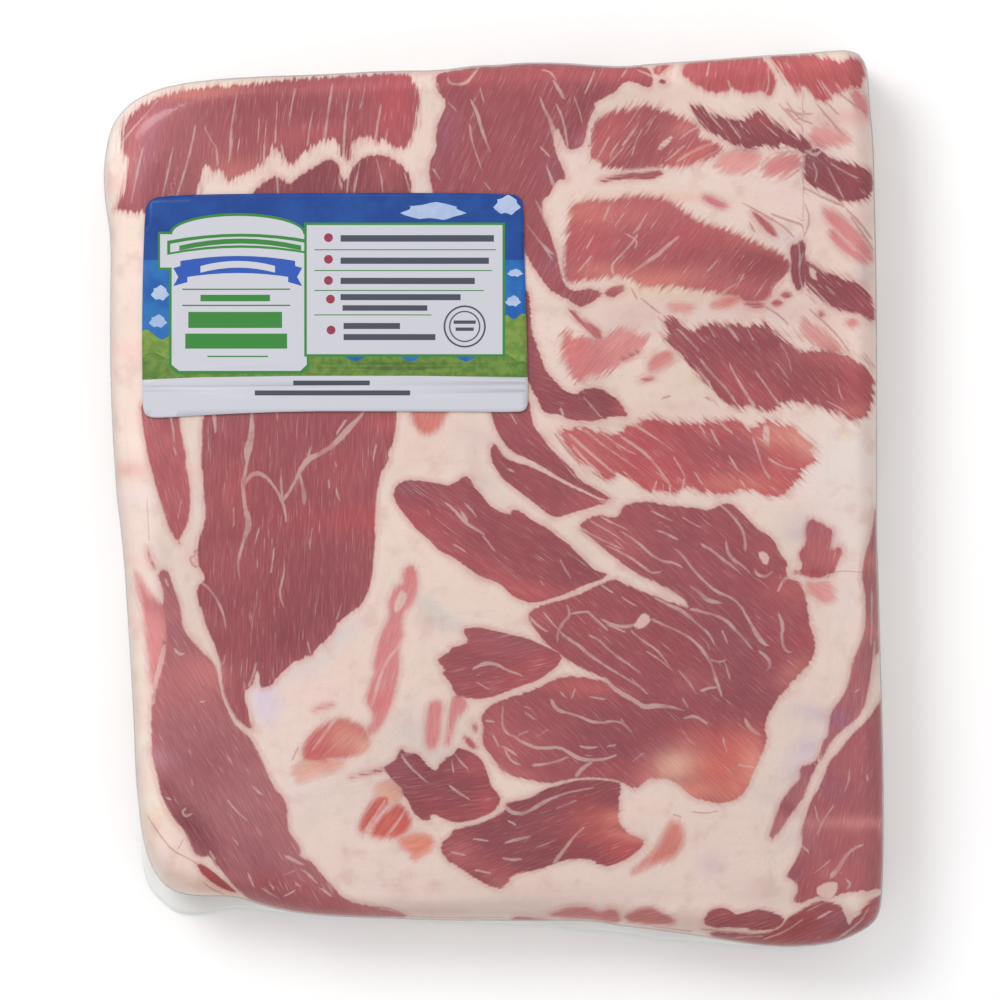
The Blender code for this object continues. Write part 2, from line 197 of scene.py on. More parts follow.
        (530, 689.5), (541, 685), (550, 679.5), (560, 676), (575, 675), (590, 677), (602, 679.5), (611, 682.5), (606, 678), (598, 674), (585, 669), (572, 662), (562, 655), (556, 650), (550, 646), (543, 640),
        (537, 632), (531, 623), (528, 614), (533, 608), (543, 604), (556, 600.5), (568, 597.5), (580, 593), (592, 587), (604, 581.5), (613, 578.5), (624, 583), (636, 589), (650, 594), (662, 599), (676, 603),
        (690, 609), (684, 600), (674, 592), (662, 585), (648, 579), (636, 573), (626, 567), (618, 560), (608, 553), (598, 544), (588, 536)]),
    ("kidney", DARK, 12, 0.5, 0.26, [
        (463, 628), (472, 626.5), (485, 627), (497, 630), (507, 633), (517, 635), (527, 637), (535, 641), (543, 644.5), (552, 648.5), (560, 652.5), (562, 657), (557, 664), (550, 670.5), (541, 676.5), (531, 681.5),
        (519, 685), (507, 690), (495, 694.5), (482, 697), (472, 697), (462, 696), (455, 693), (453, 686), (450, 680), (446, 675), (442, 671), (448, 668), (440, 663), (438, 658), (445, 653), (452, 650), (450, 646),
        (457, 645), (463, 643), (470, 640), (466, 635)]),
    ("seed_a", ROSE, 60, 0.8, 0.5, [(463, 733), (468, 735), (475, 741), (478, 746), (474, 748), (467, 742)]),
    ("seed_b", ROSE, 60, 0.6, 0.5, [(472, 722), (476, 720), (478, 726), (476, 731), (473, 728)]),
    ("reed_a", PINK, 84, 0.8, 0.8, [(430, 703), (437, 699), (444, 702), (442, 715), (440, 730), (438, 742), (432, 749), (427, 742), (426, 728), (428, 715)]),
    ("reed_b", PINK, 84, 1.0, 0.7, [(452, 697), (460, 692), (466, 698), (468, 706), (459, 712), (455, 722), (452, 735), (449, 744), (445, 742), (448, 728), (450, 712)]),
    ("hoof", DEEP, 8, 0.7, 0.28, [
        (383, 766), (390, 762), (397, 757), (400, 750), (403, 745), (406, 752), (412, 751), (418, 751), (423, 757), (430, 765), (437, 769), (440, 762), (447, 756), (455, 753), (457, 745), (463, 746), (470, 750),
        (478, 753), (483, 760), (487, 770), (490, 780), (493, 787), (501, 793), (499, 800), (496, 807), (488, 812), (478, 816), (466, 819), (455, 820), (445, 817), (437, 812), (430, 812), (432, 818), (425, 818),
        (418, 814), (412, 806), (409, 798), (404, 792), (398, 786), (393, 780), (390, 772)]),
    ("spindle", DEEP, 22, 0.9, 0.34, [
        (504, 801), (515, 799), (523, 797), (532, 794), (540, 790), (548, 786), (558, 783), (568, 780), (580, 777.5), (592, 777), (604, 778), (615, 779), (621, 780), (619, 788), (618, 797), (618, 806), (617, 814),
        (619, 822), (626, 830), (634, 834), (643, 837), (643, 843), (635, 850), (625, 856), (615, 861), (605, 863), (598, 862), (593, 857), (585, 856), (575, 856), (565, 857), (555, 860), (545, 864), (533, 868),
        (522, 869), (512, 873), (507, 880), (500, 886), (492, 884), (485, 880), (475, 875), (465, 868), (457, 862), (450, 860), (444, 853), (441, 846), (443, 838), (450, 834), (453, 828), (462, 825), (472, 823),
        (482, 820), (492, 816), (500, 811), (506, 806)]),
    ("amber_b", CORAL, 60, 0.8, 1.5, [(672, 819), (678, 821), (682, 832), (681, 842), (675, 851), (665, 857), (652, 861), (640, 866), (630, 870), (642, 860), (652, 850), (660, 838), (666, 826)]),
    ("left_column", DARK, 88, 0.75, 0.3, [
        (208, 400), (206, 420), (204, 440), (204, 460), (206, 475), (207, 490), (207, 500), (209, 512), (207, 524), (203, 535), (200, 548), (201, 557), (201, 565), (205, 571), (208, 578), (203, 583), (199.5, 590),
        (200, 599), (204, 608), (207, 618), (210, 628), (213, 636), (217, 643), (219, 651), (222, 660), (224, 672), (224, 685), (226, 694), (230, 704), (234, 712), (239, 719), (244, 723), (249, 727), (254, 727),
        (252, 718), (250, 708), (247, 700), (246, 692), (249, 687), (255, 684), (256, 676), (260, 667), (263, 672), (261, 683), (266, 687), (273, 684), (278, 677), (284, 671), (290, 665), (298, 659), (305, 658),
        (309, 651), (312, 656), (317, 649), (323, 643), (330, 636), (335, 631), (337, 624), (343, 619), (352, 612), (359, 607), (365, 600), (370, 589), (373, 572), (375, 556), (376, 540), (376, 524), (377, 507),
        (379, 487), (381, 473), (386, 467), (391, 460), (389, 453), (394, 444), (396, 432), (397, 420), (398, 400)]),
    ("left_leaf", ROSE, -74, 0.5, 0.32, [
        (143, 400), (182, 400), (182, 425), (185, 440), (189, 456), (187, 464), (191, 478), (193, 495), (192, 512), (190, 524), (185, 534), (181, 540), (184, 545), (179, 541), (173, 530), (168, 515), (163, 499),
        (158, 482), (153, 464), (149, 447), (146, 430)]),
    ("ring", PINK, 72, 0.7, 0.7, [
        (412, 564), (417, 570), (418, 580), (417, 592), (414, 600), (410, 606), (405, 610), (403, 618), (402, 627), (404, 634), (400, 642), (399, 655), (400, 668), (398, 681), (394, 696), (390, 708), (384, 720),
        (377, 729), (369, 735), (368, 729), (374, 721), (375, 712), (371, 705), (367, 699), (370, 689), (373, 680), (377, 672), (376, 664), (377, 653), (379, 642), (383, 632), (388, 622), (391, 612), (390, 603),
        (393, 592), (398, 586), (405, 583), (404, 575), (407, 568)]),
    ("small_line", PINK, 10, 0.4, 0.6, [(314, 708), (322, 704.5), (334, 701.5), (336, 704), (326, 706.5), (318, 709)]),
    ("shell", BRICK, 50, 1.1, 1.0, [
        (306, 758), (304, 749), (309, 739), (315, 731), (323, 725), (333, 720), (344, 716), (353, 720), (362, 723), (369, 730), (370, 740), (368, 749), (358, 753), (345, 756), (330, 758), (316, 760)]),
    ("shell_amber", TAN, 20, 1.0, 1.8, [(296, 768), (305, 759), (322, 757), (338, 757), (346, 760), (338, 767), (322, 772), (308, 777), (299, 778)]),
    ("ember_a", EMBER, 55, 1.0, 1.0, [(361, 828), (363, 817), (370, 806), (377, 796), (385, 788), (394, 784), (400, 790), (390, 800), (380, 811), (372, 822), (365, 831)]),
    ("ember_b", EMBER, 55, 1.2, 1.0, [(370, 833), (376, 822), (384, 812), (392, 805), (400, 800), (407, 806), (412, 815), (410, 826), (401, 834), (386, 835)]),
    ("ember_c", TAN, 30, 0.9, 1.4, [(376, 790), (380, 782), (390, 778), (402, 780), (406, 790), (398, 800), (386, 800)]),
    ("ember_d", (213, 152, 128), 20, 0.8, 1.2, [(400, 836), (410, 833), (421, 831), (431, 833), (434, 840), (430, 848), (421, 853), (414, 857), (411, 848), (402, 844)]),
    ("hoof_line", ROSE, 12, 0.3, 0.35, [(350, 774.5), (362, 771), (374, 768.5), (386, 765), (387, 768), (375, 771), (363, 773), (352, 776)]),
    ("wrap_upper", PINK, -70, 1.3, 1.2, [(137, 571), (143, 579), (150, 590), (158, 600), (168, 604), (174, 622), (172, 646), (168, 676), (160, 694), (154, 680), (151, 655), (149, 630), (146, 610), (141, 591)]),
    ("wrap", MAUVE, -60, 0.7, 0.36, [
        (161, 573), (166, 568), (171, 572), (175, 582), (178, 592), (182, 602), (184, 612), (184, 622), (188, 631), (194, 639), (202, 648), (210, 656), (217, 663), (220, 672), (222, 683), (224, 694), (228, 705),
        (233, 716), (238, 724), (245, 730), (252, 736), (257, 744), (262, 754), (267, 766), (272, 778), (278, 788), (285, 795), (289, 805), (289, 818), (290, 828), (295, 836), (300, 842), (303, 849), (300, 853),
        (306, 856), (315, 860), (321, 869), (329, 878), (336, 886), (342, 893), (352, 899), (366, 902), (380, 905), (396, 909), (412, 914), (390, 916), (351, 914.5), (303, 911.4), (265, 903.4), (250, 898),
        (243, 890), (234, 880), (226, 871), (218, 861), (212, 852), (206, 855), (199, 853), (195, 846), (191, 836), (187, 828), (181, 822), (174, 812), (167, 801), (163, 790), (161, 776), (157, 764), (154, 752),
        (154, 735), (154, 715), (155, 698), (158, 680), (162, 662), (163, 645), (162, 625), (163, 606), (167, 600), (166, 590), (163, 581)]),
    # the slit's dark red is partly the cut lean's own colour and partly painted shade inside the cut, which the surface
    # does not sink
    ("slit_lean_and_shade", (158, 74, 70), -38, 0.3, 0.3, [(198, 859.5), (206, 862), (215, 868), (225, 876), (234, 884), (241, 891), (232, 889), (221, 884), (211, 877), (203, 869)]),
    ("hairline", ROSE, -60, 0.3, 0.4, [(150, 546), (152, 553), (156, 562), (160, 570), (157, 569), (153, 561), (150, 553)]),
    ("tip", ROSE, 80, 0.7, 0.4, [
        (806, 519), (812, 519.5), (818, 522), (825, 527), (830, 530), (829, 540), (827, 547), (827, 551), (833, 547.5), (839, 547), (840, 551), (837, 558), (833, 566), (831, 573), (824, 577), (814, 577.5),
        (806, 577), (798, 573.5), (789, 574), (790, 570.5), (798, 570), (801, 565), (797, 558), (796, 552), (801, 547), (803, 540), (803, 530)]),
    ("tip_under", BLUSH, -30, 1.3, 0.9, [(803, 581), (814, 583), (826, 581), (830, 589), (831, 600), (822, 601), (812, 597), (806, 591)]),
    ("edge_run", MAUVE, 84, 0.5, 0.4, [
        (873, 506), (871, 522), (868, 537), (863, 551), (860, 566), (859, 578), (862, 590), (863, 605), (863, 620), (860, 635), (855, 648), (850, 660), (848, 673), (845, 686), (840, 696), (833, 703), (828, 712),
        (827, 722), (826, 733), (821, 740), (818, 748), (815, 757), (808, 762), (800, 764), (797, 768), (799, 775), (793, 781), (785, 790), (778, 800), (774, 812), (770, 825), (766.5, 836), (770, 836.5), (776, 830),
        (782, 822), (788, 812), (795, 803), (800, 797), (804, 787), (808, 776), (813, 766), (820, 755), (826, 744), (832, 736), (840, 728), (850, 720), (858, 713), (863, 700), (866, 685), (868, 670), (871, 655),
        (879, 650), (879, 600), (878, 560), (876, 532), (875, 515)]),
    ("haunch", (162, 100, 105), 76, 0.6, 0.36, [
        (884, 690), (872, 708), (863, 720), (853, 729), (844, 739), (836, 751), (829, 756), (824, 768), (818, 782), (811, 795), (805, 808), (801, 820), (799, 832), (800, 843), (795, 855), (788, 866), (783, 873),
        (790, 877), (796, 881), (795, 889), (790, 898), (796, 900.5), (806, 897), (816, 893), (826, 896), (838, 891), (850, 888), (862, 891), (874, 888), (886, 886), (886, 850), (886, 760)]),
    ("corner_foot", DARK, 24, 1.2, 0.4, [
        (783, 917), (794, 909), (806, 902), (817, 897), (828, 899), (838, 902), (845, 909), (851, 917), (859, 907), (866, 898), (876, 894), (888, 891), (885, 910), (880, 925), (868, 935), (850, 943), (820, 950),
        (790, 950), (760, 947), (740, 944), (722, 938), (706, 931), (716, 929), (734, 930), (752, 931), (768, 929), (778, 924)]),
    ("foot_a", (152, 84, 88), 20, 0.9, 0.36, [
        (702, 916), (708, 908), (716, 905), (724, 905), (730, 910), (738, 911), (746, 909), (755, 906), (765, 908), (775, 910), (782, 914), (781, 920), (774, 925), (764, 926), (752, 927.5), (740, 925), (727, 924),
        (714, 925), (704, 923)]),
    ("foot_b", (180, 124, 117), 10, 0.9, 0.7, [(624, 913), (632, 908), (642, 905), (650, 904), (658, 908), (665, 912), (673, 915), (674, 920), (664, 922), (650, 921), (636, 920), (626, 918)]),
    ("foot_c", (186, 134, 128), 10, 0.9, 0.7, [(548, 913), (557, 908), (570, 904), (582, 903), (592, 907), (600, 910), (609, 905), (616, 908), (620, 914), (617, 921), (600, 919), (582, 916), (565, 915)]),
    ("foot_d", ROSE, 0, 0.7, 0.4, [(511, 917), (516, 914), (525, 914), (536, 916), (550, 918), (545, 921), (528, 921), (514, 920.5)]),
]

# ------------------------------------------------------------------ fat that lies over or between lean: outline, softness
FAT_PATCH = [
    ("vee", 0.4, [(556, 128), (562, 140), (566, 152), (575, 152.5), (583, 149), (589, 152), (590, 163), (600, 169), (596, 183), (610, 189), (600, 200), (570, 204), (560, 240), (556, 258), (550, 235), (543, 212), (549, 198), (554, 188), (566, 184), (562, 170), (556, 158), (552, 142)]),
    ("ring_hole", 0.5, [(402, 588), (408, 592), (407, 600), (402, 608), (397, 613), (394, 609), (397, 598)]),
    ("haunch_lump", 0.35, [(813, 886), (819, 881), (829, 878), (836, 880), (834, 890), (828, 896), (820, 895), (815, 892)]),
    ("haunch_lump_b", 0.4, [(852, 892), (857, 886), (866, 889), (873, 885), (880, 889), (869, 895), (858, 897)]),
    ("corner_lump", 0.4, [(838, 905), (846, 898), (856, 894), (863, 896), (856, 906), (850, 917), (846, 924), (843, 913)]),
    ("big_eye", 0.3, [(755, 551), (763, 551), (768, 556), (764, 567), (759, 561)]),
    ("big_node", 0.45, [(636, 618), (642, 611), (650, 616), (648, 623), (640, 628), (631, 628)]),
    ("five_mouth", 0.6, [(762, 423), (767, 426), (768, 440), (765, 450), (760, 440)]),
    ("right_cross", 0.35, [(806, 266), (811, 270), (815, 273), (812, 277), (818, 284), (811, 282), (807, 276)]),
    ("one_cream", 0.5, [(655, 155), (658, 147), (668, 139), (674, 137), (669, 145), (661, 152)]),
    ("three_gap", 0.5, [(788, 271), (790, 284), (790, 293), (784, 291), (777, 297), (767, 300), (770, 291), (778, 282)]),
]

# ------------------------------------------------------------------ strands of fat in the lean: (x, y, half width) along each, in board units
STRANDS = [
    # flank
    [(334, 86, 0.6), (331, 105, 1.2), (328, 125, 1.1), (326, 146, 1.0)], [(351, 93, 0.6), (347, 118, 1.0), (345, 145, 1.1), (345, 166, 1.3)], [(382, 108, 0.5), (378, 130, 1.0), (375, 150, 0.9)],
    [(297, 92, 0.4), (293, 110, 0.8), (290, 130, 0.6)], [(279, 105, 0.4), (278, 125, 0.7), (277, 145, 1.0)], [(239, 97, 0.4), (236, 115, 0.7), (233, 135, 1.4), (233, 150, 1.2), (231, 165, 0.8)],
    [(207, 130, 0.4), (214, 144, 0.9), (219, 150, 1.0), (220, 168, 1.0)], [(283, 146, 0.9), (285, 158, 1.2), (287, 172, 1.2)], [(261, 122, 0.4), (260, 145, 0.7)], [(160, 103, 0.6), (148, 118, 0.8), (133, 134, 0.9), (121, 150, 0.9)],
    [(198, 128, 0.5), (194, 150, 1.0), (187, 175, 1.0), (179, 200, 0.9)], [(176, 150, 0.4), (171, 172, 1.0), (164, 205, 0.9)], [(340, 178, 1.0), (343, 190, 1.6)], [(389, 130, 0.4), (386, 145, 0.9)],
    [(315, 112, 0.3), (311, 130, 0.6), (309, 148, 1.0)], [(366, 92, 0.4), (361, 112, 0.7)], [(146, 150, 0.6), (140, 175, 1.0), (134, 205, 0.9)], [(268, 130, 0.3), (266, 150, 0.8), (266, 165, 1.2)],
    # under the flank, above the label
    [(279, 180, 0.8), (280, 196, 0.9)], [(361, 165, 0.6), (358, 180, 0.8), (355, 196, 0.6)], [(377, 160, 0.8), (382, 178, 0.9), (384, 196, 0.6)], [(405, 175, 0.6), (411, 195, 0.7)], [(350, 178, 0.8), (348, 196, 0.8)],
    # crown
    [(479, 70, 1.0), (473, 79, 1.2), (466, 87, 1.7), (457, 88, 1.3), (449, 86, 1.4), (448, 81, 0.8)], [(471, 104, 1.0), (477, 114, 1.5), (481, 130, 1.6), (486, 144, 1.2), (491, 156, 0.6)],
    [(470, 128, 0.7), (472, 144, 1.1), (477, 158, 0.9), (482, 172, 0.5)], [(480, 91, 0.7), (484, 105, 0.8)], [(448, 105, 0.6), (457, 114, 0.9)], [(434, 172, 1.1), (441, 183, 0.8)], [(430, 186, 1.2), (434, 200, 1.4)],
    [(540, 150, 0.9), (549, 159, 1.0)], [(546, 168, 0.8), (551, 182, 1.4), (554, 190, 1.8)], [(540, 101, 0.8), (543, 111, 1.2), (549, 121, 1.8), (552, 131, 2.4), (556, 142, 3.0)], [(553, 84, 1.0), (558, 92, 2.0), (563, 101, 1.6)],
    [(541, 73, 0.5), (550, 75, 0.9), (556, 84, 0.6)], [(573, 99, 0.5), (578, 112, 0.8), (582, 126, 0.5)], [(594, 74, 0.5), (589, 87, 1.1), (584, 97, 0.6)], [(526, 226, 0.5), (535, 238, 0.9), (545, 251, 0.9), (552, 262, 0.6)],
    [(538, 242, 1.0), (545, 250, 1.6), (552, 256, 1.2)], [(535, 203, 0.8), (541, 213, 1.6), (547, 229, 0.8)], [(556, 108, 0.9), (561, 118, 1.1), (565, 134, 1.1), (567, 150, 1.2)], [(484, 184, 0.4), (491, 193, 0.6)],
    [(621, 80, 0.8), (626, 72, 1.0)], [(636, 73, 0.8), (648, 78, 1.2), (658, 84, 1.0)], [(438, 87, 1.0), (440, 95, 0.7)], [(562, 168, 0.6), (567, 178, 0.9)],
    # ribs one and two
    [(638, 126, 0.6), (631, 136, 1.7), (622, 148, 1.1)], [(701, 128, 0.5), (688, 134, 0.9), (678, 142, 0.5)], [(719, 144, 1.0), (700, 150, 1.7), (686, 157, 1.4), (675, 165, 0.8)], [(623, 150, 0.6), (614, 160, 1.0), (606, 169, 0.8)],
    [(608, 140, 0.5), (602, 152, 1.0), (597, 161, 0.6)], [(641, 132, 0.4), (634, 146, 0.8), (631, 158, 0.6)], [(655, 118, 0.5), (648, 128, 0.8)], [(683, 148, 0.6), (672, 158, 0.8), (664, 164, 0.5)],
    [(617, 146, 0.5), (611, 155, 1.1), (609, 162, 0.5)], [(722, 150, 0.6), (707, 158, 1.0), (694, 165, 0.8)], [(703, 112, 0.7), (713, 124, 1.0), (722, 134, 0.5)], [(722, 118, 0.8), (731, 131, 1.1), (739, 142, 0.5)],
    [(735, 121, 0.7), (741, 131, 0.8)], [(757, 122, 0.6), (768, 133, 0.9), (777, 140, 0.5)], [(771, 125, 0.8), (783, 135, 0.9), (796, 143, 0.5)], [(683, 68, 0.8), (679, 77, 1.0)], [(708, 66, 0.5), (705, 79, 0.9)],
    [(674, 66, 1.0), (666, 73, 1.8), (659, 79, 1.2)], [(726, 84, 0.9), (729, 92, 1.2)], [(766, 73, 0.7), (767, 90, 0.9), (761, 100, 1.0)], [(764, 60, 1.2), (768, 68, 1.6), (776, 78, 1.5)], [(797, 86, 0.7), (796, 98, 1.0)],
    [(818, 84, 0.7), (826, 95, 1.3), (832, 104, 1.1)], [(833, 86, 0.7), (841, 97, 1.4), (848, 106, 1.0)],
    # right one, two
    [(825, 170, 0.9), (832, 184, 1.1), (841, 201, 0.7)], [(828, 166, 0.8), (842, 175, 1.2), (855, 181, 0.9)], [(804, 153, 1.2), (812, 159, 1.6), (818, 154, 1.4)], [(810, 164, 0.6), (815, 176, 1.0), (812, 185, 0.5)],
    [(803, 185, 0.8), (814, 192, 1.0)], [(805, 284, 0.7), (816, 295, 1.2), (829, 309, 0.9)], [(823, 287, 0.4), (832, 296, 0.7)], [(796, 246, 0.6), (798, 258, 1.1), (796, 270, 0.8)], [(801, 254, 0.5), (796, 272, 1.0), (800, 290, 0.7)],
    [(858, 284, 1.0), (864, 290, 1.2), (868, 297, 0.8)],
    # rib three
    [(677, 239, 0.8), (666, 248, 1.8), (656, 257, 2.2), (643, 266, 1.6), (629, 276, 1.0)], [(636, 238, 0.9), (627, 250, 1.3), (618, 259, 1.1), (610, 268, 1.0), (613, 277, 1.0)], [(593, 238, 0.5), (586, 250, 0.9)],
    [(591, 258, 0.7), (584, 266, 1.2), (577, 274, 0.6)], [(609, 208, 1.2), (603, 222, 1.2)], [(623, 215, 0.4), (614, 228, 0.6)], [(660, 216, 0.4), (650, 230, 0.6)], [(735, 285, 0.6), (724, 292, 1.3), (716, 299, 1.2)],
    [(716, 262, 0.5), (706, 273, 0.8)], [(742, 276, 0.5), (734, 290, 0.8)], [(765, 281, 0.5), (757, 293, 0.8), (752, 300, 0.4)], [(646, 215, 0.4), (640, 226, 0.7), (632, 236, 0.5)], [(693, 262, 0.4), (682, 274, 0.7)],
    [(625, 236, 0.8), (637, 243, 0.7), (634, 250, 0.6)],
    # rib four and the tongue
    [(699, 361, 1.0), (707, 371, 1.6), (715, 380, 1.2), (725, 390, 1.4), (733, 402, 1.2)], [(727, 364, 0.8), (735, 380, 1.2), (745, 396, 1.5), (753, 408, 1.6)], [(752, 371, 0.6), (762, 384, 1.0), (773, 400, 1.2), (779, 407, 1.0)],
    [(722, 325, 1.0), (731, 334, 1.5), (737, 343, 1.0)], [(693, 333, 0.7), (703, 344, 0.8)], [(835, 384, 0.5), (837, 394, 0.9), (840, 401, 0.6)], [(745, 330, 0.5), (751, 341, 0.8)], [(676, 330, 0.9), (686, 340, 1.0), (697, 352, 0.6)],
    [(778, 345, 0.5), (786, 358, 0.9), (789, 372, 0.6)], [(706, 327, 0.7), (713, 338, 0.9)], [(789, 345, 0.7), (798, 355, 0.9)], [(824, 402, 0.6), (838, 409, 0.9), (850, 418, 0.8)], [(583, 398, 0.5), (591, 407, 0.9), (600, 418, 0.9)],
    [(560, 409, 1.1), (563, 417, 1.3)],
    # rib five
    [(620, 437, 1.0), (632, 445, 1.3), (643, 453, 1.5), (652, 462, 1.2), (662, 475, 1.0), (668, 483, 0.6)], [(633, 425, 1.3), (647, 434, 1.2), (658, 441, 0.8), (672, 452, 0.5)], [(672, 457, 0.7), (679, 468, 1.1), (684, 478, 0.9)],
    [(683, 478, 0.8), (681, 490, 1.0)], [(692, 471, 0.9), (701, 485, 0.7)], [(709, 429, 0.6), (714, 440, 1.1), (718, 446, 0.6)], [(713, 416, 1.0), (722, 427, 1.3), (731, 434, 0.8)], [(727, 456, 0.6), (732, 464, 1.5), (736, 471, 0.7)],
    [(751, 439, 0.9), (756, 453, 1.2), (761, 469, 1.1), (768, 479, 1.3)], [(766, 459, 0.8), (780, 467, 1.1), (794, 470, 0.8)], [(738, 480, 0.7), (744, 488, 0.8)], [(568, 434, 1.6), (581, 446, 1.3), (597, 460, 1.1), (614, 474, 1.1)],
    [(585, 431, 1.1), (604, 447, 1.1), (622, 459, 0.9), (637, 470, 0.6)], [(600, 433, 1.1), (618, 446, 0.9), (634, 455, 0.5)], [(572, 447, 1.4), (586, 462, 1.2), (600, 474, 1.1)], [(697, 424, 0.9), (703, 434, 0.9)], [(655, 482, 1.0), (652, 492, 1.2)],
    [(668, 484, 0.8), (669, 493, 1.0)],
    # blades and leaf
    [(510, 414, 0.8), (517, 425, 0.7)], [(508, 469, 1.0), (513, 472, 1.2)], [(445, 502, 0.7), (455, 510, 1.2), (464, 521, 1.7), (474, 528, 1.4), (484, 534, 1.2)], [(465, 503, 0.7), (471, 509, 1.1), (477, 517, 0.7)], [(482, 534, 0.9), (489, 543, 0.8), (495, 551, 0.6)],
    [(559, 558, 0.6), (564, 568, 1.1), (570, 577, 1.1)], [(454, 544, 0.8), (466, 551, 1.1)], [(462, 512, 1.6), (467, 520, 1.8)], [(427, 508, 0.4), (431, 515, 0.7)], [(540, 580, 0.6), (544, 585, 0.6)], [(556, 455, 0.3), (575, 478, 0.5)],
    # big mass, upper part
    [(620, 531, 0.7), (637, 542, 1.2), (649, 554, 1.1), (661, 561, 1.2), (672, 562, 1.1), (681, 567, 0.8)], [(650, 511, 0.7), (663, 517, 1.1), (671, 521, 0.6)], [(655, 530, 0.8), (667, 534, 1.3), (677, 540, 0.7)],
    [(673, 548, 1.0), (682, 556, 1.4), (689, 566, 1.1), (698, 576, 1.4), (707, 585, 1.2), (717, 592, 1.3), (728, 596, 1.1), (738, 604, 1.2), (745, 616, 1.2), (750, 625, 1.4), (755, 634, 2.4), (760, 641, 2.0), (766, 645, 1.0)],
    [(700, 544, 1.4), (712, 551, 1.2), (721, 559, 1.5), (731, 566, 1.3), (740, 574, 0.7)], [(724, 540, 0.8), (726, 552, 1.8), (732, 560, 1.5), (742, 566, 1.1), (749, 574, 0.7)], [(680, 517, 0.7), (693, 524, 1.0), (700, 528, 0.5)],
    [(716, 503, 1.0), (727, 512, 1.2), (738, 525, 1.4), (743, 537, 1.3), (743, 550, 1.6)], [(752, 569, 0.9), (756, 575, 1.5), (764, 576, 1.5), (770, 571, 0.8)], [(606, 545, 0.8), (620, 552, 1.2), (631, 558, 1.2), (643, 567, 1.3), (651, 573, 1.3), (659, 571, 0.8)],
    [(688, 585, 1.0), (698, 592, 1.7), (706, 600, 2.4), (719, 602, 1.3)], [(690, 608, 1.6), (701, 611, 1.4), (713, 614, 1.2), (724, 619, 1.7), (732, 627, 1.7), (741, 637, 1.2), (750, 648, 0.7)],
    [(654, 597, 1.1), (667, 604, 1.4), (679, 609, 2.2), (689, 617, 1.4), (698, 625, 1.2), (706, 631, 1.2), (713, 643, 0.7)], [(650, 618, 1.6), (663, 624, 1.2), (677, 630, 1.1), (689, 637, 1.2), (698, 645, 1.4), (705, 655, 1.6), (710, 664, 1.2)],
    [(600, 618, 0.8), (612, 624, 1.4), (624, 626, 1.7), (636, 623, 1.6)], [(629, 629, 0.9), (642, 640, 1.2), (655, 648, 0.9), (664, 659, 0.9), (670, 668, 0.6)], [(720, 629, 0.6), (726, 643, 0.7)], [(776, 612, 1.0), (781, 624, 1.9), (779, 639, 1.2), (783, 650, 1.6), (789, 651, 0.7)],
    [(757, 650, 1.1), (764, 655, 2.0), (769, 663, 1.4), (765, 669, 0.7)], [(707, 658, 1.5), (716, 661, 1.1), (724, 659, 0.7)], [(709, 661, 1.1), (713, 674, 1.4), (717, 686, 1.4), (720, 694, 0.8)], [(700, 689, 1.3), (708, 686, 1.3), (715, 686, 0.8)],
    [(723, 661, 0.6), (728, 677, 1.0)], [(677, 669, 1.0), (687, 680, 1.4), (694, 691, 0.8)], [(681, 697, 1.1), (687, 706, 1.1)], [(645, 650, 0.5), (658, 658, 0.8), (671, 669, 0.7)], [(630, 677, 0.7), (646, 692, 1.1)], [(612, 654, 0.5), (640, 671, 0.6)],
    [(683, 716, 1.0), (693, 714, 1.6), (700, 718, 1.5), (706, 722, 0.8)], [(743, 718, 1.6), (747, 725, 1.9), (753, 730, 2.0), (758, 733, 1.2)], [(721, 736, 0.8), (725, 750, 0.9)], [(737, 763, 1.2), (751, 765, 1.2)], [(620, 717, 0.7), (630, 730, 0.9)],
    [(632, 759, 0.4), (642, 751, 0.8)], [(604, 677, 1.6), (612, 686, 2.0), (622, 693, 2.2), (634, 699, 1.8), (643, 706, 2.4), (653, 704, 2.4), (670, 705, 1.4), (683, 709, 0.7)], [(574, 524, 1.2), (590, 534, 1.0), (606, 542, 0.9), (622, 549, 0.6)],
    [(590, 521, 0.7), (606, 530, 0.8), (622, 540, 0.5)], [(601, 517, 0.9), (614, 524, 0.8), (628, 530, 0.5)],
    # big mass, cells at the left
    [(566, 603, 0.8), (570, 614, 1.5), (562, 622, 1.8), (557, 631, 1.5), (557, 641, 0.8)], [(543, 611, 0.7), (551, 621, 1.0), (557, 628, 0.9)], [(530, 617, 1.2), (539, 626, 1.0), (548, 631, 0.7)], [(587, 611, 0.9), (596, 619, 1.1), (607, 629, 0.8)],
    [(570, 613, 0.9), (580, 611, 0.9), (589, 611, 0.8)], [(588, 634, 0.9), (599, 639, 1.5), (609, 650, 1.2), (625, 661, 0.9), (640, 672, 0.8)], [(556, 627, 1.0), (565, 636, 1.3), (578, 644, 1.5), (588, 653, 1.8), (602, 663, 1.1), (620, 674, 0.9), (640, 686, 0.9)],
    [(606, 623, 0.8), (624, 631, 1.0)], [(535, 630, 1.1), (542, 640, 1.2), (550, 647, 1.0)], [(600, 584, 1.2), (612, 592, 0.9)], [(620, 596, 0.6), (636, 606, 0.6)],
    # big mass, round eye
    [(551, 699, 1.8), (556, 708, 2.2), (566, 711, 1.1), (578, 714, 1.1), (590, 720, 1.4), (601, 721, 1.4), (612, 719, 1.0), (622, 721, 1.2), (631, 731, 0.9)], [(512, 733, 0.9), (522, 740, 1.2), (535, 746, 1.7), (548, 746, 1.4), (560, 745, 1.2), (569, 751, 1.7), (579, 757, 2.0), (592, 758, 1.5), (604, 757, 1.2), (615, 753, 0.8)],
    [(533, 763, 1.4), (545, 762, 1.2), (557, 759, 1.1), (567, 755, 1.1)], [(576, 773, 2.0), (583, 765, 2.0), (591, 760, 1.4)], [(503, 704, 0.7), (502, 715, 1.0), (503, 728, 1.2), (512, 735, 1.0)], [(528, 729, 1.2), (518, 733, 1.2)], [(502, 744, 0.8), (509, 748, 1.2), (516, 753, 0.9)],
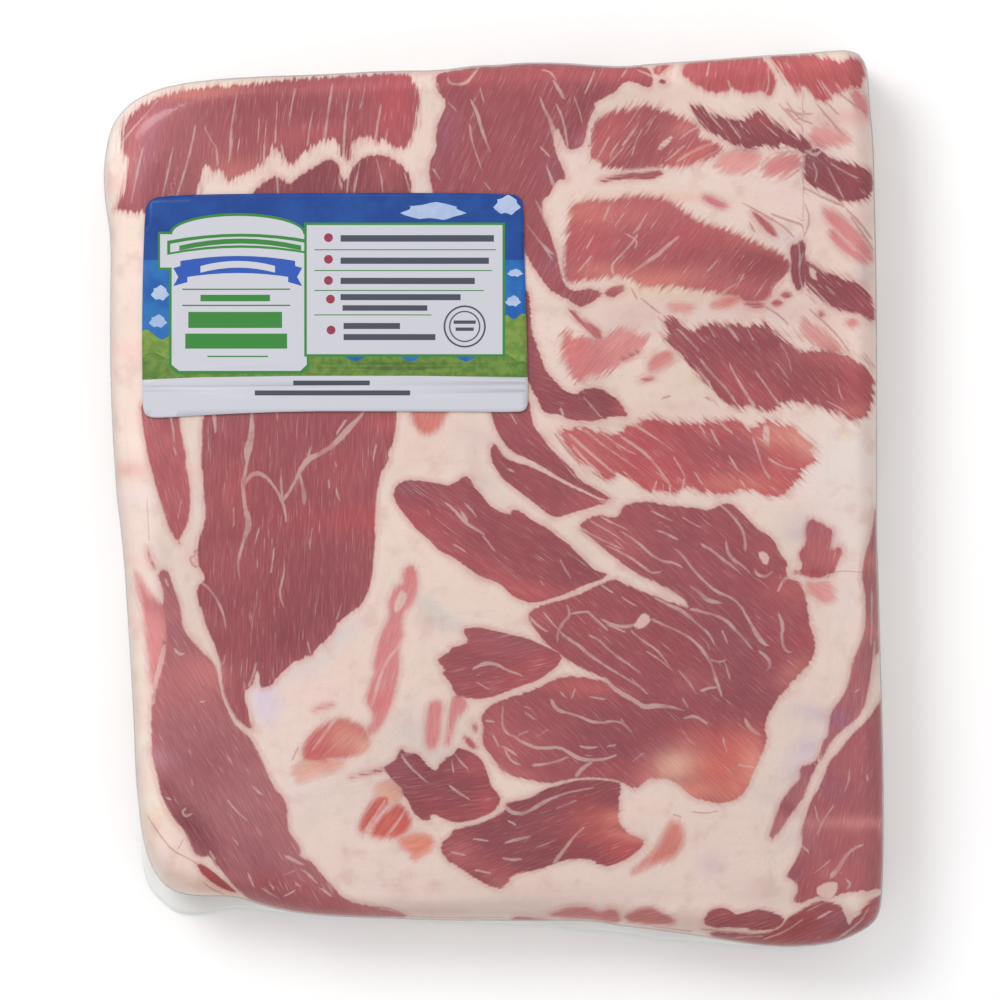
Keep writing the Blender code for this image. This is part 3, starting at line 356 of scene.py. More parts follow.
    [(493, 733, 0.8), (499, 745, 1.0)], [(526, 711, 1.4), (535, 718, 1.4)], [(579, 744, 0.9), (587, 746, 1.3), (596, 745, 0.8)], [(607, 744, 0.8), (614, 743, 0.9)], [(505, 748, 0.8), (510, 758, 1.0), (519, 763, 1.3)], [(574, 688, 0.9), (571, 697, 0.8)], [(589, 695, 0.9), (604, 698, 0.9)],
    [(486, 719, 1.0), (494, 720, 0.9)], [(536, 735, 0.5), (547, 728, 0.7)], [(524, 704, 0.7), (531, 708, 0.8)], [(560, 690, 0.7), (566, 697, 0.8)],
    # kidney, hoof, spindle
    [(474, 667, 1.2), (484, 662, 1.8), (496, 662, 1.6), (505, 668, 1.1), (522, 674, 0.9)], [(476, 680, 0.6), (489, 688, 0.8)], [(402, 753, 1.0), (410, 764, 1.2), (420, 773, 1.1), (429, 781, 0.6)], [(456, 753, 0.9), (462, 761, 1.1), (469, 768, 0.7)],
    [(450, 783, 0.8), (458, 790, 1.4), (470, 797, 0.7)], [(452, 757, 0.6), (454, 770, 0.7)], [(502, 799, 1.6), (508, 808, 1.6), (519, 812, 2.0), (530, 808, 1.5), (541, 801, 2.2), (551, 796, 1.1), (567, 790, 1.0), (593, 785, 0.7)],
    [(505, 840, 0.8), (515, 837, 1.6), (529, 834, 1.4)], [(474, 836, 0.6), (488, 838, 0.8)], [(503, 855, 1.2), (512, 857, 1.4), (522, 856, 1.0)], [(555, 858, 2.1), (562, 849, 1.9), (570, 838, 1.3), (575, 832, 1.1), (583, 825, 0.7)],
    [(535, 845, 0.4), (556, 837, 0.6)], [(476, 867, 0.9), (490, 870, 0.9)], [(451, 849, 0.8), (465, 852, 1.1)], [(556, 806, 0.4), (576, 798, 0.6)], [(508, 818, 0.8), (515, 822, 1.0)],
    # left column
    [(254, 412, 1.0), (254, 428, 2.4), (253, 440, 3.2), (250, 450, 4.2), (249, 457, 2.6), (249, 464, 0.9), (247, 474, 1.8), (245, 484, 2.4), (246, 496, 1.5), (247, 507, 1.9), (250, 518, 3.2), (251, 527, 3.2), (247, 536, 1.8), (244, 547, 1.4), (241, 557, 1.4), (240, 566, 1.3), (242, 577, 0.6)],
    [(247, 484, 1.6), (251, 477, 1.9), (258, 473, 2.4), (265, 475, 2.1), (271, 480, 1.5), (277, 488, 1.3), (281, 495, 1.5), (284, 501, 1.9), (287, 511, 1.1), (288, 521, 0.6)],
    [(285, 500, 1.6), (291, 492, 1.4), (297, 481, 1.5), (302, 470, 2.2), (310, 459, 2.8), (320, 455, 2.0), (332, 448, 2.3), (342, 438, 2.5), (351, 428, 3.1), (359, 420, 1.5), (366, 411, 1.0)], [(301, 474, 1.2), (304, 485, 1.6), (306, 495, 2.6), (306, 503, 1.6)],
    [(283, 468, 0.5), (283, 484, 1.0), (284, 498, 1.2)], [(278, 408, 1.2), (280, 424, 0.6)], [(215, 408, 2.2), (217, 420, 1.8), (218, 433, 0.8)], [(312, 447, 0.8), (310, 457, 1.4)], [(204, 582, 1.0), (212, 588, 1.2), (220, 600, 1.2), (226, 613, 1.1), (228, 627, 0.6)],
    [(286, 560, 0.6), (286, 574, 1.2), (282, 587, 1.1), (282, 597, 1.0), (286, 606, 0.6)], [(314, 528, 0.5), (311, 544, 0.8), (312, 550, 0.5)], [(338, 488, 0.6), (338, 495, 0.8), (342, 501, 0.6)], [(377, 446, 1.1), (374, 461, 0.6)], [(261, 528, 0.6), (257, 543, 0.9)],
    [(276, 548, 0.6), (273, 571, 0.9)], [(236, 508, 0.6), (236, 526, 0.9)], [(336, 462, 0.9), (338, 467, 0.7)], [(330, 480, 0.5), (331, 488, 0.7)], [(343, 603, 0.5), (338, 618, 0.9)], [(309, 640, 0.5), (312, 651, 1.0)], [(258, 662, 0.8), (256, 672, 1.2), (251, 684, 1.4)],
    [(246, 680, 0.8), (247, 690, 1.2)], [(228, 653, 0.5), (226, 662, 1.1), (221, 665, 0.8)], [(338, 434, 0.8), (347, 421, 1.1)], [(321, 520, 0.4), (321, 532, 0.7)],
    # left leaf and wrap
    [(173, 416, 1.0), (176, 430, 1.0), (177, 443, 0.6)], [(176, 446, 0.5), (179, 455, 0.8)], [(184, 500, 0.4), (181, 518, 0.7)], [(222, 662, 2.4), (222, 676, 1.8), (225, 690, 1.4), (230, 705, 1.5), (237, 717, 2.4), (243, 724, 3.0), (252, 731, 1.8)],
    [(167, 646, 2.2), (163, 664, 2.8), (158, 681, 2.0), (156, 702, 1.2)], [(177, 648, 1.0), (181, 653, 1.6), (186, 653, 0.9)], [(168, 578, 0.8), (171, 586, 1.0)], [(188, 806, 0.8), (184, 810, 1.0), (189, 815, 0.9), (194, 811, 0.7)],
    [(170, 795, 1.3), (173, 797, 1.3)], [(194, 777, 0.9), (195, 783, 0.9)], [(254, 783, 0.7), (263, 792, 1.3)], [(212, 849, 1.2), (217, 857, 1.6)], [(229, 797, 0.7), (239, 809, 0.9), (249, 818, 0.6)], [(270, 878, 0.8), (276, 886, 1.0)], [(296, 879, 1.2), (302, 884, 0.8)],
    [(303, 866, 0.8), (311, 872, 1.2), (318, 880, 0.7)], [(321, 884, 0.6), (333, 893, 1.0)], [(288, 853, 1.6), (296, 858, 1.6), (306, 862, 1.0)], [(250, 870, 0.8), (256, 884, 0.8)], [(285, 872, 0.5), (296, 868, 0.9)], [(286, 893, 0.6), (296, 888, 0.9)],
    [(203, 700, 0.8), (207, 700, 0.9)], [(233, 833, 0.5), (241, 842, 0.8)], [(262, 884, 0.6), (281, 896, 0.8)], [(200, 858, 1.8), (211, 863, 1.8), (222, 872, 1.7), (234, 883, 1.5), (243, 892, 1.2)],
    # shell, embers, ring
    [(341, 712, 1.6), (331, 725, 1.4), (320, 741, 0.8)], [(399, 645, 1.4), (389, 658, 1.7), (382, 672, 1.5), (377, 690, 1.6), (373, 704, 1.0)], [(408, 804, 1.0), (399, 819, 1.2), (388, 833, 1.2)], [(386, 798, 0.9), (374, 816, 1.5), (365, 831, 1.2)],
    [(447, 700, 2.2), (445, 720, 2.8), (443, 740, 1.8)], [(326, 730, 0.5), (314, 748, 0.8)],
    # right edge, haunch
    [(872, 640, 1.0), (870, 670, 1.2), (867, 692, 1.4), (862, 713, 1.8)], [(869, 590, 0.6), (869, 618, 1.0), (868, 645, 0.8)], [(859, 842, 1.2), (849, 847, 1.6), (841, 855, 1.8), (836, 865, 2.3), (829, 873, 2.4)], [(847, 768, 0.8), (846, 779, 1.1), (842, 788, 0.7)],
    [(864, 774, 1.4), (865, 778, 1.0)], [(831, 803, 0.6), (821, 817, 1.2), (815, 831, 1.2)], [(812, 803, 0.5), (816, 819, 0.9)], [(799, 842, 1.3), (806, 849, 1.2)], [(782, 912, 1.4), (792, 905, 1.3), (804, 899, 1.2), (816, 894, 1.3)], [(776, 590, 1.0), (781, 579, 1.6), (786, 576, 1.8), (791, 579, 1.0)],
    [(790, 577, 1.3), (804, 580, 1.3), (818, 578.5, 1.2), (829, 573, 0.8)], [(834, 937, 0.9), (848, 927, 1.2), (861, 915, 0.9)], [(762, 936, 0.6), (782, 929, 1.1), (800, 916, 0.8)], [(815, 915, 0.7), (828, 908, 1.0)], [(853, 690, 1.0), (856, 688, 0.8)], [(812, 870, 0.6), (827, 858, 0.8)],
    [(844, 876, 0.9), (848, 882, 1.4), (844, 886, 0.8)], [(866, 905, 0.6), (858, 918, 0.9)], [(735, 935, 0.7), (760, 933, 0.9)],
]

# ------------------------------------------------------------------ thin strands of lean in the fat
THREADS = [
    [(783, 111, 0.8), (796, 118, 1.3), (810, 117, 0.8)], [(784, 105, 0.6), (796, 122, 1.1), (810, 127, 0.8)], [(776, 107, 0.5), (788, 120, 0.9), (800, 130, 0.8)], [(811, 98, 1.0), (822, 104, 1.4)], [(835, 95, 0.8), (848, 106, 1.3), (865, 116, 1.0)],
    [(814, 107, 0.6), (828, 124, 1.1), (842, 139, 0.9)], [(822, 104, 0.6), (836, 118, 1.0)], [(769, 216, 0.8), (784, 222, 1.4), (800, 227, 0.9)], [(747, 224, 0.8), (752, 233, 1.3)], [(740, 205, 0.5), (762, 217, 1.1), (782, 229, 1.0), (792, 240, 0.6)],
    [(803, 191, 0.8), (820, 200, 1.4), (842, 209, 1.0)], [(842, 210, 0.8), (856, 224, 1.4), (869, 241, 1.2)], [(802, 205, 0.6), (808, 222, 0.9), (802, 238, 0.7)], [(848, 219, 0.8), (864, 242, 1.2), (871, 252, 0.8)], [(640, 300, 0.8), (652, 310, 1.2), (660, 316, 0.6)],
    [(630, 290, 0.7), (636, 301, 1.0)], [(656, 318, 0.5), (668, 330, 1.2)], [(764, 309, 0.8), (776, 316, 1.2), (786, 326, 0.8)], [(798, 318, 0.6), (812, 330, 1.3), (830, 344, 1.0)], [(806, 310, 0.6), (820, 322, 1.2), (836, 338, 1.0), (846, 352, 0.8)],
    [(620, 330, 0.7), (604, 346, 1.2), (592, 356, 0.8)], [(632, 336, 0.7), (616, 350, 1.3), (600, 362, 0.8)], [(640, 344, 0.7), (624, 356, 1.2), (606, 370, 0.8)], [(661, 399, 1.0), (668, 397, 1.3)], [(704, 398, 1.4), (709, 401, 1.2)],
    [(554, 434, 0.9), (566, 450, 1.4), (580, 466, 1.0)], [(196, 551, 1.0), (200, 549.5, 0.9)], [(193, 556, 0.9), (193, 561, 1.2), (196, 565.5, 1.3), (200, 566.5, 0.9)], [(199, 550, 0.8), (196, 557, 0.9)], [(148, 812, 0.4), (160, 829, 0.7), (174, 847, 0.7), (188, 854, 0.7), (200, 861, 0.8)],
    [(186, 836, 0.6), (181, 846, 0.4)], [(205, 879, 0.5), (216, 888, 0.9), (228, 893, 0.7)], [(411, 914, 0.5), (450, 915.5, 0.6), (505, 915, 0.4)], [(830, 572, 0.4), (842, 570, 0.5), (860, 572, 0.4)], [(690, 809, 0.6), (704, 811, 0.9), (716, 808, 0.5)],
    [(700, 926, 0.6), (726, 929, 1.1), (760, 932, 1.3), (782, 938, 0.8)], [(652, 924, 0.5), (690, 929, 0.9)], [(672, 812, 0.8), (680, 814, 0.6)], [(300, 745, 0.8), (294, 758, 0.8)], [(800, 100, 0.4), (801, 240, 0.4)],
    [(360, 905, 0.6), (384, 903.5, 1.2), (404, 911, 0.8)], [(560, 435, 1.2), (571, 440, 1.6), (578, 441, 0.8)], [(150, 500, 0.3), (152, 540, 0.3)], [(205, 190, 0.3), (206, 196, 0.3)],
]

# ------------------------------------------------------------------ tints of the lean, among them painted shade in folds and a painted sheen of the film: x, y, reach along, reach across, angle, colour, strength
LEAN_TINTS = [
    # the bluish vertical streak at (152, 150) is a painted sheen of the film on the top-left corner, laid into the
    # lean's colour
    (150, 135, 40, 22, 60, (183, 120, 122), 0.85), (135, 170, 26, 12, 80, (190, 128, 126), 0.8), (152, 150, 42, 9, 75, (172, 122, 138), 0.75), (185, 150, 60, 26, 85, MAUVE, 0.6), (215, 150, 34, 20, 84, (170, 108, 112), 0.6), (240, 172, 30, 12, 5, CORAL, 0.55),
    (260, 115, 40, 38, 84, (158, 90, 96), 0.6), (330, 115, 60, 36, 84, DARK, 0.3), (395, 110, 40, 22, 84, (178, 92, 97), 0.9), (310, 138, 40, 10, 10, (180, 104, 106), 0.7), (350, 90, 50, 9, 2, (180, 106, 108), 0.5), (200, 96, 50, 6, 5, CORAL, 0.6),
    (300, 190, 60, 16, 0, DEEP, 0.5), (390, 172, 20, 14, 80, ROSE, 0.6),
    (446, 140, 30, 12, 84, (150, 94, 112), 0.7), (470, 80, 26, 9, 0, RUBY, 0.6), (520, 90, 40, 30, 0, (166, 92, 98), 0.6), (560, 76, 40, 8, 0, (172, 96, 100), 0.8), (620, 76, 30, 8, 0, RUBY, 0.8), (530, 160, 60, 40, 30, (157, 88, 96), 0.5), (480, 180, 50, 26, 0, (155, 88, 96), 0.5),
    (575, 120, 30, 12, 70, DEEP, 0.6), (583, 145, 10, 8, 0, (172, 126, 146), 0.6), (552, 262, 14, 8, 60, (150, 98, 118), 0.8), (555, 165, 20, 9, 60, (150, 98, 112), 0.6), (540, 275, 30, 12, -55, (160, 95, 100), 0.6),
    (612, 130, 30, 12, 40, (186, 104, 104), 0.8), (640, 150, 34, 18, 40, (150, 86, 90), 0.7), (655, 120, 22, 14, 40, DARK, 0.6), (684, 130, 16, 8, 20, CORAL, 0.6), (690, 158, 28, 6, 25, (200, 124, 112), 0.8), (600, 160, 16, 12, 40, BRICK, 0.7), (618, 168, 30, 6, 5, DARK, 0.8),
    (700, 75, 40, 14, 0, (183, 104, 107), 0.4), (730, 84, 30, 10, 0, (172, 92, 97), 0.6), (820, 72, 40, 12, 0, (188, 108, 108), 0.6), (845, 82, 16, 10, 0, (176, 94, 98), 0.6),
    (720, 132, 30, 10, -40, (140, 74, 82), 0.5), (770, 142, 40, 9, -10, (138, 74, 82), 0.7), (758, 120, 12, 12, 0, RUBY, 0.5), (812, 165, 14, 12, 0, (140, 92, 104), 0.8), (850, 180, 22, 14, -20, (160, 86, 90), 0.5), (830, 180, 16, 12, 0, DEEP, 0.6),
    (590, 215, 30, 14, 0, CORAL, 0.75), (585, 245, 26, 24, 60, (182, 98, 100), 0.7), (640, 215, 44, 14, 0, BRICK, 0.6), (690, 240, 30, 16, 20, (184, 100, 102), 0.6), (735, 240, 26, 10, -20, BRICK, 0.6), (760, 265, 34, 16, 0, (146, 76, 82), 0.95), (690, 258, 34, 14, 20, (158, 84, 90), 0.7), (640, 250, 34, 14, 40, (160, 86, 92), 0.6),
    (655, 282, 50, 9, 5, CORAL, 0.8), (600, 272, 30, 7, 0, CORAL, 0.6), (720, 290, 30, 7, 0, BRICK, 0.6), (765, 250, 20, 6, -15, BRICK, 0.5),
    (800, 262, 10, 22, 0, (140, 84, 98), 0.6), (840, 292, 30, 12, -20, (146, 78, 84), 0.5), (866, 306, 10, 12, 0, (176, 98, 100), 0.7),
    (585, 355, 22, 22, 0, (205, 138, 134), 0.6), (575, 348, 10, 20, 0, (200, 122, 118), 0.6), (618, 345, 22, 16, 40, (208, 160, 150), 0.6), (660, 362, 18, 9, 35, (206, 150, 140), 0.6),
    (700, 345, 30, 16, -40, (146, 82, 92), 0.6), (756, 350, 34, 22, 0, (144, 78, 86), 0.8), (735, 385, 28, 14, -45, RUBY, 0.6), (765, 395, 22, 14, 0, (172, 92, 96), 0.6), (815, 380, 34, 24, 0, (160, 88, 92), 0.6), (852, 390, 20, 26, 0, (180, 98, 100), 0.75), (825, 358, 40, 8, 0, BRICK, 0.6), (790, 360, 12, 14, 0, (160, 104, 112), 0.5),
    (850, 412, 16, 8, 0, CORAL, 0.5),
    (560, 400, 34, 16, -30, (150, 82, 92), 0.5), (600, 402, 26, 12, 0, DEEP, 0.6), (540, 350, 14, 40, 0, (168, 98, 104), 0.5), (620, 410, 9, 9, 0, (182, 100, 102), 0.6),
    (590, 450, 26, 22, -40, (198, 124, 118), 0.75), (640, 465, 34, 18, -35, (178, 92, 96), 0.7), (700, 450, 36, 18, -30, (160, 88, 95), 0.7), (740, 452, 26, 18, 0, DARK, 0.8), (775, 435, 24, 14, 0, (206, 146, 134), 0.85), (800, 445, 12, 20, 60, PEACH, 0.9), (785, 458, 20, 16, 0, (186, 110, 108), 0.6), (770, 484, 28, 12, 20, (190, 108, 104), 0.7),
    (730, 484, 34, 8, 0, CORAL, 0.6), (660, 480, 26, 8, 0, (184, 96, 98), 0.7),
    (520, 430, 30, 16, -50, (160, 90, 98), 0.5), (560, 470, 40, 8, -35, (150, 82, 90), 0.6), (590, 500, 22, 6, 0, (180, 100, 102), 0.6), (540, 495, 34, 12, -30, (152, 82, 90), 0.5),
    (425, 498, 34, 10, -25, (142, 76, 84), 0.8), (410, 488, 12, 8, 0, (150, 98, 112), 0.7), (470, 520, 34, 10, -35, (160, 96, 106), 0.5), (520, 560, 60, 22, -35, (156, 84, 90), 0.5), (530, 590, 34, 9, -8, (186, 104, 106), 0.8), (490, 568, 40, 8, -35, (178, 98, 102), 0.8), (585, 565, 24, 8, -40, DEEP, 0.7), (440, 540, 30, 8, -40, (176, 98, 102), 0.6),
    (610, 535, 34, 16, -30, (182, 112, 112), 0.8), (650, 520, 34, 12, -15, (172, 98, 104), 0.6), (700, 530, 36, 16, -20, (160, 88, 96), 0.6), (760, 550, 16, 20, -50, (176, 104, 108), 0.8), (735, 550, 20, 20, 0, (150, 80, 88), 0.6), (690, 560, 60, 22, -35, (158, 92, 102), 0.6), (755, 585, 40, 20, -40, (158, 88, 96), 0.6), (785, 590, 20, 18, 0, (184, 106, 104), 0.7),
    (800, 640, 20, 34, 90, (170, 92, 96), 0.6), (770, 625, 30, 20, 0, (156, 88, 98), 0.5), (720, 640, 40, 30, -40, (144, 82, 94), 0.6), (740, 680, 40, 30, 0, (152, 86, 96), 0.5), (790, 670, 20, 10, 40, CORAL, 0.5), (640, 600, 30, 12, -25, (152, 80, 86), 0.7), (665, 645, 40, 20, -30, (152, 80, 86), 0.7), (590, 600, 26, 10, -15, (160, 84, 90), 0.5), (590, 625, 24, 14, 0, (166, 92, 94), 0.5),
    (540, 615, 14, 12, 0, (180, 108, 108), 0.7), (640, 690, 40, 20, -20, (148, 80, 90), 0.5), (700, 700, 34, 20, 0, (150, 82, 92), 0.5), (655, 725, 26, 18, 30, DEEP, 0.7), (630, 755, 22, 20, 40, (146, 78, 86), 0.7), (700, 735, 30, 12, 0, RUBY, 0.85), (740, 745, 24, 18, 0, (198, 116, 106), 0.9), (715, 765, 36, 20, 0, (200, 116, 104), 0.95), (735, 785, 26, 14, 20, (208, 140, 120), 0.9),
    (690, 788, 22, 9, 0, (210, 150, 130), 0.9), (670, 765, 26, 16, 20, TAN, 0.95), (750, 760, 12, 20, 0, (214, 160, 142), 0.8), (648, 775, 14, 8, 0, (200, 140, 132), 0.6), (690, 680, 18, 12, 0, (172, 108, 108), 0.5), (640, 770, 16, 12, 40, RUBY, 0.5),
    (500, 735, 16, 30, 0, (184, 112, 112), 0.7), (530, 720, 26, 20, 0, (162, 92, 100), 0.5), (575, 730, 40, 24, 0, (152, 84, 92), 0.5), (580, 685, 40, 9, -5, (188, 108, 106), 0.8), (560, 765, 30, 9, 0, (164, 92, 96), 0.5), (610, 735, 30, 24, 0, (148, 80, 92), 0.5), (520, 745, 30, 12, 20, (178, 108, 110), 0.6), (610, 768, 26, 8, 10, (172, 92, 96), 0.6), (515, 770, 26, 6, -10, (190, 118, 114), 0.6),
    (480, 640, 26, 10, -10, (166, 100, 106), 0.7), (465, 660, 22, 12, 0, (148, 80, 88), 0.6), (520, 645, 30, 8, -15, (158, 96, 108), 0.6), (540, 662, 30, 10, 20, (176, 94, 96), 0.7), (505, 682, 40, 8, 10, (168, 88, 92), 0.7),
    (400, 765, 14, 16, 0, (158, 98, 108), 0.7), (440, 800, 34, 16, 0, (150, 76, 82), 0.6), (470, 765, 20, 12, 0, (172, 94, 100), 0.7), (488, 800, 12, 14, 0, (182, 96, 96), 0.7), (425, 780, 20, 12, 0, (146, 82, 92), 0.5), (460, 812, 34, 6, 0, (170, 90, 92), 0.6),
    (460, 850, 18, 16, 0, (182, 112, 112), 0.8), (495, 870, 22, 12, -20, (176, 100, 100), 0.7), (520, 830, 40, 16, 20, (150, 84, 94), 0.6), (580, 795, 34, 12, 20, (152, 82, 88), 0.5), (575, 850, 30, 8, 0, (146, 72, 78), 0.6), (600, 830, 16, 34, 90, (184, 98, 94), 0.9), (616, 815, 8, 30, 90, (206, 140, 124), 0.95), (625, 845, 22, 12, 20, (186, 92, 92), 0.9), (628, 834, 22, 5, -10, CORAL, 0.8),
    (500, 882, 12, 8, 0, (170, 116, 112), 0.7), (590, 812, 18, 16, 0, (168, 84, 84), 0.7),
    # the tint at (305, 590) on this line and the one at (290, 640) on the next are painted shade of the fold that runs
    # from about (318, 585) to (245, 665)
    (240, 485, 16, 26, 0, (176, 98, 92), 0.8), (330, 430, 60, 26, 30, (150, 84, 94), 0.5), (225, 440, 24, 40, 0, (158, 94, 102), 0.6), (265, 505, 22, 30, 0, (148, 78, 86), 0.6), (365, 520, 14, 80, 90, (172, 86, 92), 0.85), (345, 470, 26, 24, 0, (168, 94, 98), 0.6), (305, 590, 50, 40, 30, (140, 76, 84), 0.7),
    (230, 560, 34, 26, 0, (166, 96, 102), 0.5), (270, 610, 60, 26, 60, (148, 80, 86), 0.6), (330, 610, 30, 24, 40, (138, 74, 82), 0.6), (240, 640, 22, 40, 70, (150, 80, 86), 0.4), (290, 640, 34, 16, 40, (136, 72, 82), 0.7), (235, 705, 9, 18, 70, (152, 80, 86), 0.5), (215, 500, 8, 50, 90, (164, 98, 102), 0.5), (390, 425, 10, 30, 90, (180, 96, 98), 0.7), (265, 690, 12, 9, 0, (138, 80, 92), 0.7),
    (165, 440, 12, 30, 80, (176, 110, 112), 0.5), (178, 500, 9, 34, 80, (170, 106, 108), 0.5), (390, 650, 9, 40, 75, (204, 138, 136), 0.5), (385, 700, 9, 24, 70, (206, 128, 126), 0.6), (410, 575, 8, 10, 0, (204, 134, 132), 0.6),
    (345, 735, 18, 16, 0, (206, 158, 140), 0.9), (365, 745, 10, 12, 0, (212, 178, 158), 0.9), (318, 745, 12, 20, 50, (192, 108, 108), 0.8), (330, 728, 14, 8, 30, BRICK, 0.5),
    (185, 690, 24, 40, 90, (178, 118, 120), 0.8), (205, 670, 14, 24, 80, (194, 132, 130), 0.8), (178, 610, 10, 40, 75, (178, 120, 124), 0.7), (175, 735, 24, 24, 0, (162, 108, 114), 0.6), (235, 745, 30, 16, 0, (158, 98, 106), 0.7), (250, 785, 24, 30, -40, (168, 118, 122), 0.7), (215, 770, 26, 22, 0, (156, 96, 102), 0.6), (190, 760, 10, 34, 85, (150, 92, 100), 0.5),
    # the tints at (195, 825) in the darkest colour, (170, 790) and (215, 850) are painted shade along the deep crease
    # of the lower left, which the surface does not have
    (195, 825, 34, 14, -48, CREASE_SHADE, 0.95), (170, 790, 16, 9, -60, (140, 80, 92), 0.8), (255, 850, 34, 16, -40, (152, 98, 110), 0.6), (240, 820, 30, 14, -40, (160, 108, 114), 0.6), (215, 850, 26, 10, -50, (140, 76, 86), 0.7), (275, 835, 20, 30, 80, (172, 118, 122), 0.7), (280, 805, 12, 16, 0, (174, 116, 118), 0.7), (290, 885, 50, 12, -8, (160, 88, 92), 0.7), (270, 880, 12, 8, 0, (156, 78, 82), 0.6),
    (330, 900, 40, 9, -8, (166, 96, 100), 0.7), (160, 755, 9, 20, 80, (178, 138, 148), 0.8), (375, 906, 30, 5, -5, (184, 124, 122), 0.7),
    (812, 545, 14, 20, 60, (184, 112, 112), 0.8), (805, 530, 7, 14, 80, (160, 104, 122), 0.7), (815, 572, 20, 4, 0, (160, 78, 76), 0.8), (834, 556, 5, 12, 60, (186, 116, 116), 0.6),
    (866, 560, 9, 40, 88, (190, 128, 128), 0.8), (868, 630, 9, 40, 88, (196, 136, 132), 0.7), (858, 680, 12, 30, 75, (172, 108, 114), 0.6), (836, 715, 9, 16, 50, (160, 110, 136), 0.9), (824, 735, 5, 10, 60, (156, 104, 124), 0.8), (810, 765, 12, 20, 55, (150, 84, 96), 0.7), (785, 805, 9, 26, 60, (148, 80, 90), 0.7),
    (850, 700, 12, 16, 60, (168, 104, 112), 0.5), (860, 760, 20, 44, 80, (172, 108, 112), 0.6), (820, 780, 9, 24, 65, (158, 102, 122), 0.7), (860, 830, 22, 40, 90, (176, 108, 110), 0.6), (800, 865, 14, 14, 0, (156, 90, 96), 0.7), (808, 830, 9, 14, 0, (170, 118, 128), 0.7), (790, 872, 9, 7, 0, (142, 88, 104), 0.8), (850, 872, 20, 16, 0, (178, 108, 112), 0.6), (825, 868, 14, 10, 0, (180, 110, 108), 0.6),
    (805, 888, 12, 8, 30, (158, 84, 84), 0.6), (800, 918, 26, 12, 20, (150, 70, 70), 0.9), (780, 932, 30, 8, 0, (166, 84, 80), 0.8), (835, 918, 16, 12, 30, (152, 96, 112), 0.6), (870, 910, 14, 16, 60, (176, 102, 104), 0.7), (820, 935, 34, 8, 0, (164, 86, 86), 0.7), (735, 916, 30, 8, 0, (146, 78, 86), 0.5), (770, 905, 14, 5, 0, (130, 88, 110), 0.8), (880, 820, 6, 90, 90, (205, 150, 146), 0.7),
]

